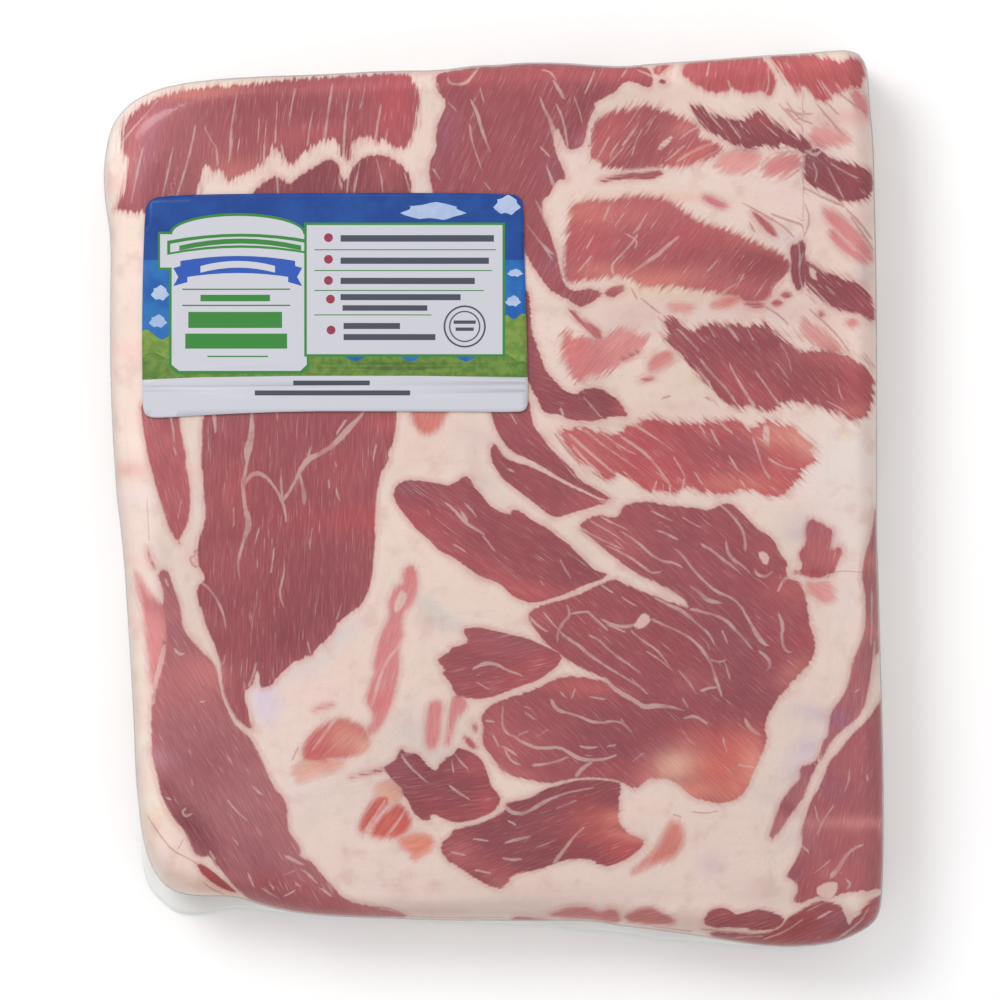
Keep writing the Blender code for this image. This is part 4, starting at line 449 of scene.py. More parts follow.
# ------------------------------------------------------------------ tints of the fat
FAT_TINTS = [
    (120, 140, 30, 16, 70, IVORY, 0.8), (112, 200, 16, 60, 90, (238, 222, 208), 0.8), (128, 190, 10, 40, 85, (226, 190, 180), 0.7), (190, 88, 60, 6, 5, (236, 214, 194), 0.9), (300, 165, 60, 20, 0, (222, 198, 188), 0.4), (210, 185, 20, 14, 0, (226, 210, 200), 0.6),
    (428, 120, 24, 40, 0, (220, 200, 188), 0.6), (420, 76, 24, 5, 0, (228, 196, 184), 0.8), (426, 185, 12, 16, 0, (212, 194, 192), 0.5), (575, 175, 34, 24, 0, (224, 200, 192), 0.4), (615, 105, 40, 14, 0, (224, 198, 184), 0.6), (660, 102, 40, 14, 0, (220, 192, 180), 0.5), (740, 105, 40, 10, 0, (228, 206, 194), 0.4),
    (790, 100, 30, 24, 0, (226, 202, 190), 0.3), (835, 56, 26, 7, 0, (232, 212, 198), 0.7), (840, 120, 34, 24, 0, (226, 198, 188), 0.5), (868, 120, 8, 60, 90, (222, 178, 172), 0.8), (870, 220, 8, 60, 90, (226, 196, 188), 0.7), (830, 150, 20, 12, 0, (228, 208, 202), 0.6), (640, 190, 50, 9, 0, (224, 202, 192), 0.5),
    (710, 185, 60, 12, 0, (228, 208, 198), 0.5), (780, 200, 40, 20, 0, (226, 202, 196), 0.5), (660, 200, 60, 6, 0, (224, 184, 160), 0.6), (780, 242, 20, 10, 0, (216, 198, 196), 0.7), (840, 260, 30, 14, -20, (228, 204, 188), 0.5), (845, 240, 22, 12, -40, (222, 190, 184), 0.6), (860, 275, 12, 12, 0, (212, 196, 196), 0.7),
    (640, 292, 40, 10, 10, (222, 198, 172), 0.8), (690, 298, 40, 6, 0, (220, 192, 164), 0.8), (610, 284, 34, 5, 0, (226, 208, 196), 0.5), (620, 315, 50, 16, -10, (218, 192, 184), 0.6), (700, 312, 60, 9, 0, (222, 196, 192), 0.6), (780, 312, 50, 12, 0, (218, 190, 182), 0.6), (560, 330, 20, 40, 90, (226, 206, 196), 0.3),
    (630, 325, 34, 16, 30, (212, 182, 174), 0.6), (640, 390, 60, 16, 0, (226, 204, 190), 0.5), (690, 385, 22, 16, 0, (220, 200, 184), 0.5), (692, 381, 5, 5, 0, (206, 190, 150), 0.6), (830, 330, 40, 16, -30, (222, 194, 184), 0.6), (850, 340, 26, 20, 0, (230, 208, 198), 0.6), (680, 410, 60, 8, 0, (216, 184, 176), 0.4),
    (835, 470, 40, 60, 90, (232, 214, 208), 0.9), (850, 440, 26, 30, 0, (234, 218, 210), 0.5), (842, 434, 5, 5, 0, (228, 210, 182), 0.6), (600, 425, 40, 5, 0, (214, 182, 174), 0.6), (560, 440, 12, 30, 90, (224, 194, 182), 0.5), (780, 530, 40, 30, 0, (226, 208, 194), 0.6), (840, 530, 30, 34, 0, (234, 216, 210), 0.7),
    (800, 520, 16, 10, 0, (210, 190, 194), 0.6), (801, 535, 8, 20, 90, (198, 180, 190), 0.7), (830, 538, 8, 12, 0, (210, 184, 188), 0.6), (835, 640, 26, 60, 90, (230, 210, 200), 0.6), (845, 600, 16, 20, 0, (232, 212, 206), 0.6), (800, 720, 40, 60, 60, (226, 206, 194), 0.5), (815, 700, 22, 26, 0, (230, 208, 200), 0.4),
    (822, 715, 8, 30, 75, (200, 180, 196), 0.75), (805, 745, 16, 12, 40, (200, 184, 198), 0.7), (790, 770, 14, 12, 40, (204, 190, 198), 0.6), (775, 800, 8, 30, 65, (208, 192, 192), 0.6), (740, 850, 60, 40, 0, (220, 198, 188), 0.4), (790, 835, 14, 26, 70, (206, 192, 188), 0.5), (710, 862, 12, 12, 0, (208, 182, 190), 0.6),
    (765, 890, 30, 14, 0, (206, 184, 178), 0.6), (620, 895, 80, 9, 0, (212, 192, 186), 0.6), (640, 810, 50, 20, 0, (226, 202, 192), 0.5), (700, 830, 60, 20, 0, (222, 200, 190), 0.4), (540, 890, 70, 14, 0, (214, 186, 176), 0.5), (450, 890, 60, 14, 0, (212, 190, 182), 0.4), (400, 880, 60, 20, 0, (218, 196, 188), 0.5),
    (340, 830, 40, 40, 0, (226, 204, 196), 0.4), (330, 800, 40, 20, 0, (230, 210, 202), 0.5), (360, 780, 40, 9, 0, (226, 206, 198), 0.5), (300, 790, 20, 20, 0, (226, 208, 206), 0.5), (268, 695, 14, 16, 0, (208, 196, 220), 0.8), (268, 712, 9, 12, 0, (214, 200, 216), 0.6), (310, 690, 40, 24, 0, (230, 206, 196), 0.5),
    (330, 690, 24, 12, 0, (228, 200, 198), 0.4), (380, 765, 20, 6, 10, (208, 192, 190), 0.5), (355, 660, 40, 30, 40, (226, 202, 188), 0.4), (310, 665, 30, 9, 30, (212, 200, 200), 0.6), (345, 632, 22, 9, 40, (208, 198, 200), 0.6), (430, 560, 30, 60, 60, (228, 208, 194), 0.7), (430, 605, 26, 8, -35, (206, 198, 190), 0.8),
    (450, 625, 26, 7, -20, (208, 196, 190), 0.7), (480, 480, 14, 9, -30, (206, 184, 184), 0.7), (482, 440, 12, 30, 70, (208, 186, 182), 0.6), (440, 440, 40, 26, 0, (220, 196, 184), 0.4), (415, 455, 20, 20, 0, (222, 196, 184), 0.4), (500, 500, 30, 9, -40, (216, 196, 190), 0.5), (560, 530, 30, 9, -30, (224, 204, 190), 0.4),
    (620, 500, 30, 9, 0, (226, 204, 196), 0.5), (650, 582, 30, 9, -25, (220, 202, 196), 0.5), (495, 600, 34, 10, -20, (228, 208, 194), 0.5), (440, 680, 24, 34, 60, (224, 202, 188), 0.5), (420, 730, 34, 20, 0, (208, 194, 190), 0.6), (440, 755, 20, 8, 0, (204, 190, 190), 0.6), (480, 700, 20, 12, 20, (224, 202, 188), 0.4),
    (500, 785, 40, 10, -8, (228, 206, 190), 0.5), (585, 665, 26, 6, -20, (230, 204, 186), 0.6), (620, 790, 22, 12, 0, (222, 208, 202), 0.5), (640, 800, 34, 14, 0, (232, 210, 196), 0.4), (175, 450, 12, 80, 88, (226, 210, 202), 0.2), (196, 440, 9, 50, 88, (220, 204, 200), 0.6), (198, 500, 9, 50, 88, (214, 196, 194), 0.6),
    (195, 540, 14, 12, 0, (222, 196, 194), 0.5), (196, 557, 7, 8, 0, (226, 160, 162), 0.8), (150, 500, 14, 60, 80, (226, 212, 206), 0.6), (160, 560, 14, 16, 0, (206, 194, 190), 0.6), (190, 600, 14, 50, 75, (222, 200, 196), 0.5), (205, 645, 14, 12, 0, (228, 206, 190), 0.5),
    (130, 470, 9, 70, 88, (222, 180, 170), 0.75), (128, 350, 9, 70, 88, (228, 192, 182), 0.6), (122, 440, 7, 60, 88, (238, 216, 202), 0.6), (136, 620, 7, 60, 88, (230, 198, 190), 0.7), (143, 660, 6, 60, 88, (234, 218, 208), 0.6), (128, 560, 6, 40, 88, (232, 196, 184), 0.6), (142, 740, 8, 60, 88, (238, 222, 210), 0.7), (138, 700, 5, 50, 88, (226, 200, 192), 0.5),
    (160, 810, 20, 30, -55, (232, 206, 186), 0.8), (150, 800, 9, 30, -65, (240, 222, 208), 0.6), (175, 870, 22, 16, -35, (232, 202, 190), 0.8), (165, 850, 14, 12, -45, (236, 210, 200), 0.6), (210, 885, 26, 8, -20, (226, 196, 178), 0.7), (155, 870, 9, 14, 0, (238, 222, 214), 0.6), (225, 890, 16, 5, -20, (224, 190, 170), 0.6),
    (440, 908, 90, 7, 0, (206, 180, 172), 0.7), (580, 912, 60, 7, 0, (200, 174, 168), 0.6), (700, 925, 60, 7, -8, (206, 178, 172), 0.6), (865, 720, 9, 12, 60, (234, 216, 206), 0.6),
]


# ------------------------------------------------------------------ plane geometry
def chaikin(p, closed=True):
    p = np.asarray(p, float)
    if closed:
        q = np.roll(p, -1, axis=0)
        return np.stack([0.75 * p + 0.25 * q, 0.25 * p + 0.75 * q], 1).reshape(-1, p.shape[1])
    q = np.stack([0.75 * p[:-1] + 0.25 * p[1:], 0.25 * p[:-1] + 0.75 * p[1:]], 1).reshape(-1, p.shape[1])
    return np.vstack([p[:1], q[1:-1], p[-1:]]) if len(p) > 2 else p


def near_segments(points, a, b):
    """For each point, the nearest segment: its number, the place along it and the distance."""
    best = np.full(len(points), 1e9)
    which = np.zeros(len(points), int)
    along = np.zeros(len(points))
    for i in range(len(a)):
        e = b[i] - a[i]
        n = max(float(e @ e), 1e-9)
        t = ((points - a[i]) @ e) / n
        c = np.clip(t, 0, 1)
        d = np.hypot(*(points - a[i] - c[:, None] * e).T)
        m = d < best
        best[m], which[m], along[m] = d[m], i, t[m]
    return best, which, along


def inside(points, poly):
    x, y = points.T
    hit = np.zeros(len(points), bool)
    for (x0, y0), (x1, y1) in zip(poly, np.roll(poly, -1, axis=0)):
        if y0 != y1:
            m = (y0 > y) != (y1 > y)
            hit ^= m & (x < (x1 - x0) * (y - y0) / (y1 - y0) + x0)
    return hit


def signed(points, poly):
    d, _, _ = near_segments(points, poly, np.roll(poly, -1, axis=0))
    return np.where(inside(points, poly), d, -d)


# ------------------------------------------------------------------ the slab's surface
outline = chaikin(board(OUTLINE))
CORNERS = board([(127.5, 108), (857, 58), (874, 919), (163, 882)])
corner_at = [int(np.argmin(np.hypot(*(outline - c).T))) for c in CORNERS]


def side(start, end):
    i, j = corner_at[start], corner_at[end]
    run = outline[i:j + 1] if j > i else np.vstack([outline[i:], outline[:j + 1]])
    return run


TOP, RIGHT, BOTTOM, LEFT = side(0, 1), side(1, 2), side(2, 3)[::-1], side(3, 0)[::-1]


def along_side(run, t):
    s = np.r_[0, np.cumsum(np.hypot(*np.diff(run, axis=0).T))]
    return np.c_[np.interp(t * s[-1], s, run[:, 0]), np.interp(t * s[-1], s, run[:, 1])]


def spaced(length, step, edge):
    inner = np.linspace(edge[-1], length - edge[-1], int(round((length - 2 * edge[-1]) / step)) + 1)
    return np.r_[edge[:-1], inner, length - np.array(edge[:-1])[::-1]] / length


def patch(step, edge):
    """A grid over the whole slab from its four sides."""
    u, v = spaced(262, step, edge), spaced(302, step, edge)
    t, b, l, r = along_side(TOP, u), along_side(BOTTOM, u), along_side(LEFT, v), along_side(RIGHT, v)
    U, V = u[None, :, None], v[:, None, None]
    ruled = (1 - V) * t[None] + V * b[None] + (1 - U) * l[:, None] + U * r[:, None]
    twist = (1 - U) * (1 - V) * t[0] + U * (1 - V) * t[-1] + (1 - U) * V * b[0] + U * V * b[-1]
    return ruled - twist


def height(points, depth):
    """Top of the meat: rounded shoulders, wider at the left, and a gently uneven top."""
    x, y = points.T
    left = smooth((MID_X - 88 - x) / 40)
    foot = smooth((MID_Y - 118 - y) / 34)
    radius = 6.5 + 7.5 * left + 3.0 * foot
    t = np.clip(depth / radius, 0, 1)
    drop = radius * (1 - np.sqrt(np.clip(1 - (1 - t) ** 2, 0, 1)))
    swell = 1.5 * np.exp(-((x - MID_X) / 120) ** 2 - ((y - MID_Y) / 140) ** 2) - 1.5
    uneven = 0.35 * np.sin(x / 17 + 1.3) * np.cos(y / 23) + 0.25 * np.sin((x + y) / 11)
    return THICK + swell - drop + uneven * smooth(depth / 12) - 0.35 * smooth(depth / 12)


RINGS = 19
EDGE = [0, 0.35, 0.9, 1.7, 2.6]


def slab(step, edge, rings, grow=0.0):
    """The closed slab: a grid on top, a wall of rings, and rings under it to one flat cap."""
    g = patch(step, edge)
    rows, cols = g.shape[:2]
    flat = g.reshape(-1, 2)
    loop = [(0, c) for c in range(cols)] + [(r, cols - 1) for r in range(1, rows)]
    loop += [(rows - 1, c) for c in range(cols - 2, -1, -1)] + [(r, 0) for r in range(rows - 2, 0, -1)]
    rim = np.array([r * cols + c for r, c in loop])
    depth = near_segments(flat, outline, np.roll(outline, -1, axis=0))[0]
    depth[rim] = 0
    z = height(flat, depth)
    rim_xy, rim_z = flat[rim], z[rim]
    tangent = np.roll(rim_xy, -3, axis=0) - np.roll(rim_xy, 3, axis=0)
    tangent /= np.hypot(*tangent.T)[:, None]
    out = np.c_[-tangent[:, 1], tangent[:, 0]]
    if np.mean(np.sum(out * (rim_xy - rim_xy.mean(0)), 1)) < 0:
        out = -out
    for _ in range(6):
        out = (np.roll(out, 2, axis=0) + out + np.roll(out, -2, axis=0)) / 3
    out /= np.hypot(*out.T)[:, None]
    n, base = len(rim), 0.5
    s = np.arange(n) / n * 2 * math.pi
    pts = [np.c_[flat + 0, z + grow]]
    pts[0][rim, :2] += out * grow
    for k in range(1, rings + 1):
        t = k / rings
        level = rim_z * (1 - t) + base * t
        tuck = 3.2 * (1 - np.sqrt(np.clip(1 - np.clip((t - 0.72) / 0.28, 0, 1) ** 2, 0, 1)))
        ripple = 0.35 * np.sin(9 * t + 5 * s) * math.sin(math.pi * t) - 0.35 * math.sin(math.pi * t)
        pts.append(np.c_[rim_xy + out * (grow + ripple - tuck)[:, None], level + grow * (1 - t) - 0.3 * grow * t])
    for inset in (7, 16, 34, 60, 90):
        centre = rim_xy.mean(0)
        last = pts[-1][:, :2]
        pull = (centre - rim_xy) * (inset / 135)
        pts.append(np.c_[rim_xy - out * 3.2 + pull, np.full(n, 0.5 - 0.3 * grow)])
    faces = []
    for r in range(rows - 1):
        a = r * cols + np.arange(cols - 1)
        faces.append(np.c_[a, a + cols, a + cols + 1, a + 1])
    start = len(flat)
    before = rim
    for _ in range(rings + 5):
        now = start + np.arange(n)
        faces.append(np.c_[before, np.roll(before, -1), np.roll(now, -1), now])
        before, start = now, start + n
    faces = np.vstack(faces)
    return np.vstack(pts), faces, before[::-1], dict(rim=rim, flat=flat, depth=depth, n=n, out=out, rim_z=rim_z, top=len(flat))


def to_mesh(name, verts, faces, extra=()):
    mesh = bpy.data.meshes.new(name)
    mesh.from_pydata((np.asarray(verts) * MM).tolist(), [], [list(map(int, f)) for f in faces] + [list(map(int, f)) for f in extra])
    mesh.validate(clean_customdata=False)
    mesh.update()
    for poly in mesh.polygons:
        poly.use_smooth = True
    piece = bpy.data.objects.new(name, mesh)
    bpy.context.scene.collection.objects.link(piece)
    return piece


def attribute(piece, name, kind, values):
    data = piece.data.attributes.new(name, kind, "POINT")
    key = {"FLOAT": "value", "FLOAT_VECTOR": "vector"}[kind]
    data.data.foreach_set(key, np.asarray(values, np.float32).ravel())


verts, faces, cap, info = slab(1.22, EDGE, RINGS)
top_count = info["top"]
# Where the pattern is read for each vertex: on top it is the place itself, down the wall it slides inward a little.
where = verts[:, :2].copy()
fall = np.zeros(len(verts))
for k in range(RINGS + 5):
    sl = slice(top_count + k * info["n"], top_count + (k + 1) * info["n"])
    where[sl] = info["flat"][info["rim"]] - info["out"] * 0.4
    fall[sl] = info["rim_z"] - verts[sl, 2]

# ------------------------------------------------------------------ fields of the pattern
N = len(verts)


def near_box(poly, margin):
    lo, hi = poly.min(0) - margin, poly.max(0) + margin
    return np.where(np.all((where > lo) & (where < hi), axis=1))[0]


def colour_groups(sets, channels):
    """Give each set of vertices a channel it shares with no overlapping set, as far as channels go."""
    taken = np.zeros((channels, N), bool)
    out = []
    for ids in sets:
        clash = [int(taken[c, ids].sum()) for c in range(channels)]
        c = int(np.argmin(clash))
        taken[c, ids] = True
        out.append(c)
    return out


LEAN_CHANNELS = 4
lean = np.full((LEAN_CHANNELS, N), -6.0)
best = np.full(N, -9.0)
tone = np.tile(linear(ROSE), (N, 1))
fibre = np.zeros((N, 3))
trim = np.tile([0.5, 0.8, 0.0], (N, 1))
polys = [chaikin(board(row[5])) for row in LEAN]
near = [near_box(p, 5.0) for p in polys]
tight = [ids[np.where(signed(where[ids], p) > -1.6)[0]] for ids, p in zip(near, polys)]
for number, ((name, colour, angle, fringe, soft, _), poly, ids, channel) in enumerate(zip(LEAN, polys, near, colour_groups(tight, LEAN_CHANNELS))):
    d = signed(where[ids], poly)
    lean[channel, ids] = np.maximum(lean[channel, ids], d)
    m = d > best[ids]
    got = ids[m]
    best[got] = d[m]
    tone[got] = linear(colour)
    trim[got] = (soft * 1.35, fringe * UNIT * (1.75 if fringe >= 1.5 else 1.15), 1.0 if fringe >= 1.5 else 0.35)
    a = math.radians(angle)
    p = where[got]
    fibre[got] = np.c_[p[:, 0] * math.cos(a) + p[:, 1] * math.sin(a), -p[:, 0] * math.sin(a) + p[:, 1] * math.cos(a), np.full(len(got), number * 3.7)]
none = best < -8
fibre[none] = np.c_[where[none], np.zeros(none.sum())]


def wash(field, tints):
    for x, y, along, across, angle, colour, strength in tints:
        c = board([(x, y)])[0]
        a = math.radians(angle)
        p = where - c
        u = p[:, 0] * math.cos(a) + p[:, 1] * math.sin(a)
        v = -p[:, 0] * math.sin(a) + p[:, 1] * math.cos(a)
        w = strength * np.exp(-((u / (along * UNIT)) ** 2 + (v / (across * UNIT)) ** 2) * 0.9)
        field[:] = field * (1 - w[:, None]) + linear(colour) * w[:, None]


wash(tone, LEAN_TINTS)
tone = np.clip(tone * np.array([1.36, 1.10, 1.13]), 0, 0.9)
fat = np.tile(linear(BONE), (N, 1))
side_pull = smooth(1 - near_segments(where, outline, np.roll(outline, -1, axis=0))[0] / 16)[:, None]
fat = fat * (1 - 0.35 * side_pull) + linear(CREAM) * 0.35 * side_pull
wash(fat, FAT_TINTS)
fat = np.clip(fat * np.array([1.20, 1.20, 1.23]), 0, 0.93)
cut = np.full(N, -6.0)
for _, soft, points in FAT_PATCH:
    poly = chaikin(board(points))
    ids = near_box(poly, 4)
    cut[ids] = np.maximum(cut[ids], signed(where[ids], poly))


def lines(rows, channels):
    """Signed distance and half width of thin lines, spread over channels so that neighbours do not disturb each other."""
    out = np.zeros((channels, N, 3))
    out[:, :, 0], out[:, :, 1] = 6.0, -6.0
    held = []
    for row in rows:
        p = chaikin(np.c_[board([q[:2] for q in row]), [q[2] * UNIT for q in row]], closed=False)
        ids = near_box(p[:, :2], 2.6)
        a, b = p[:-1, :2], p[1:, :2]
        d, seg, t = near_segments(where[ids], a, b)
        m = d < 2.5
        ids, d, seg, t = ids[m], d[m], seg[m], t[m]
        e = b[seg] - a[seg]
        q = where[ids] - a[seg]
        turn = np.sign(e[:, 0] * q[:, 1] - e[:, 1] * q[:, 0])
        w = p[seg, 2] * (1 - np.clip(t, 0, 1)) + p[seg + 1, 2] * np.clip(t, 0, 1)
        over = np.where((seg == 0) & (t < 0), -t, 0) + np.where((seg == len(a) - 1) & (t > 1), t - 1, 0)
        w = w - 0.6 * over * np.hypot(*e.T)
        held.append((ids, np.where(turn == 0, 1, turn) * d, w))
    for (ids, d, w), channel in zip(held, colour_groups([h[0] for h in held], channels)):
        closer = np.abs(d) - w < np.abs(out[channel, ids, 0]) - out[channel, ids, 1]
        got = ids[closer]
        out[channel, got, 0], out[channel, got, 1] = d[closer], w[closer]
    return out


STRAND_CHANNELS, THREAD_CHANNELS = 6, 2
strand = lines(STRANDS, STRAND_CHANNELS)
thread = lines(THREADS, THREAD_CHANNELS)

# Down the wall the pattern of the top runs on for a few millimetres, then gives way to layers of lean and fat.
wall = np.arange(N) >= top_count
turn_over = smooth((fall - 1.5) / 5.0) * wall
s = np.zeros(N)
for k in range(RINGS + 5):
    s[top_count + k * info["n"]: top_count + (k + 1) * info["n"]] = np.arange(info["n"]) / info["n"] * 2 * math.pi
zz = verts[:, 2]
wave = 1.3 * np.sin(3 * s + 0.5) + 0.8 * np.sin(8 * s + 2.0) + 0.5 * np.sin(19 * s)
layer = np.full(N, -6.0)
for level, half in ((24.5, 2.4), (17.0, 1.7), (9.6, 1.2)):
    thick = half * (0.72 + 0.45 * np.sin(5 * s + level) + 0.25 * np.sin(13 * s + 2 * level))
    layer = np.maximum(layer, thick - np.abs(zz - level - wave))
for c in range(LEAN_CHANNELS):
    lean[c] = lean[c] * (1 - turn_over) + (layer if c == 0 else np.full(N, -6.0)) * turn_over
strand[:, :, 1] = strand[:, :, 1] * (1 - turn_over) - 6 * turn_over
thread[:, :, 1] = thread[:, :, 1] * (1 - turn_over) - 6 * turn_over
cut = cut * (1 - turn_over) - 6 * turn_over
side_tone = linear((186, 108, 112))
tone = tone * (1 - turn_over[:, None]) + side_tone * turn_over[:, None]
fat = fat * (1 - turn_over[:, None] * 0.8) + linear((240, 222, 212)) * turn_over[:, None] * 0.8
trim[wall & (turn_over > 0.3)] = (0.45, 0.35, 0)
arc = np.zeros(N)
arc[wall] = s[wall] * 1120 / (2 * math.pi)
fibre[wall] = np.c_[arc[wall], zz[wall], np.full(wall.sum(), 5.0)]

# Relief: fat stands a little proud of the lean, strands make shallow lines.
mass = lean.max(0)
raised = -0.28 * smooth((mass + 0.6) / 1.8) * (~wall)
line_depth = np.clip(1.2 - np.abs(strand[:, :, 0]).min(0), 0, 1) * (strand[:, :, 1].max(0) > 0)
verts[:, 2] += raised + 0.10 * line_depth * (~wall)
meat = to_mesh("meat", verts, faces, [cap])
for c in range(LEAN_CHANNELS):
    attribute(meat, "lean_%d" % c, "FLOAT", lean[c])
for c in range(STRAND_CHANNELS):
    attribute(meat, "strand_%d" % c, "FLOAT_VECTOR", strand[c])
for c in range(THREAD_CHANNELS):
    attribute(meat, "thread_%d" % c, "FLOAT_VECTOR", thread[c])
attribute(meat, "fat_cut", "FLOAT", cut)
attribute(meat, "lean_tone", "FLOAT_VECTOR", tone)
attribute(meat, "fat_tone", "FLOAT_VECTOR", fat)
attribute(meat, "trim", "FLOAT_VECTOR", trim)
attribute(meat, "fibre", "FLOAT_VECTOR", fibre)


# ------------------------------------------------------------------ materials
class Nodes:
    def __init__(self, name):
        self.material = bpy.data.materials.new(name)
        self.material.use_nodes = True
        self.tree = self.material.node_tree
        self.tree.nodes.clear()

    def node(self, kind, **settings):
        made = self.tree.nodes.new(kind)
        for key, value in settings.items():
            setattr(made, key, value)
        return made

    def put(self, socket, value):
        if isinstance(value, bpy.types.NodeSocket):
            self.tree.links.new(value, socket)
        else:
            socket.default_value = value

    def math(self, operation, *values, clamp=False):
        n = self.node("ShaderNodeMath", operation=operation, use_clamp=clamp)
        for i, v in enumerate(values):
            self.put(n.inputs[i], v)
        return n.outputs[0]

    def step(self, value, low, high):
        n = self.node("ShaderNodeMapRange", interpolation_type="SMOOTHSTEP")
        for i, v in enumerate((value, low, high, 0.0, 1.0)):
            self.put(n.inputs[i], v)
        return n.outputs[0]

    def attr(self, name, output="Fac"):
        return self.node("ShaderNodeAttribute", attribute_name=name).outputs[output]

    def split(self, vector):
        n = self.node("ShaderNodeSeparateXYZ")
        self.put(n.inputs[0], vector)
        return n.outputs

    def join(self, x, y, z):
        n = self.node("ShaderNodeCombineXYZ")
        for i, v in enumerate((x, y, z)):
            self.put(n.inputs[i], v)
        return n.outputs[0]

    def noise(self, vector, scale=1.0, detail=2.0, rough=0.55):
        n = self.node("ShaderNodeTexNoise")
        self.put(n.inputs["Vector"], vector)
        self.put(n.inputs["Scale"], scale)
        self.put(n.inputs["Detail"], detail)
        self.put(n.inputs["Roughness"], rough)
        return n.outputs["Fac"]

    def mix(self, factor, a, b, blend="MIX"):
        n = self.node("ShaderNodeMix", data_type="RGBA", blend_type=blend)
        sockets = [i for i in n.inputs if i.enabled]
        self.put(n.inputs["Factor"], factor)
        for socket, value in zip([i for i in n.inputs if i.type == "RGBA"], (a, b)):
            self.put(socket, value)
        return [o for o in n.outputs if o.type == "RGBA"][0]

    def finish(self, shader):
        out = self.node("ShaderNodeOutputMaterial")
        self.tree.links.new(shader, out.inputs["Surface"])
        return self.material


def rgba(rgb):
    return tuple(linear(rgb)) + (1.0,)


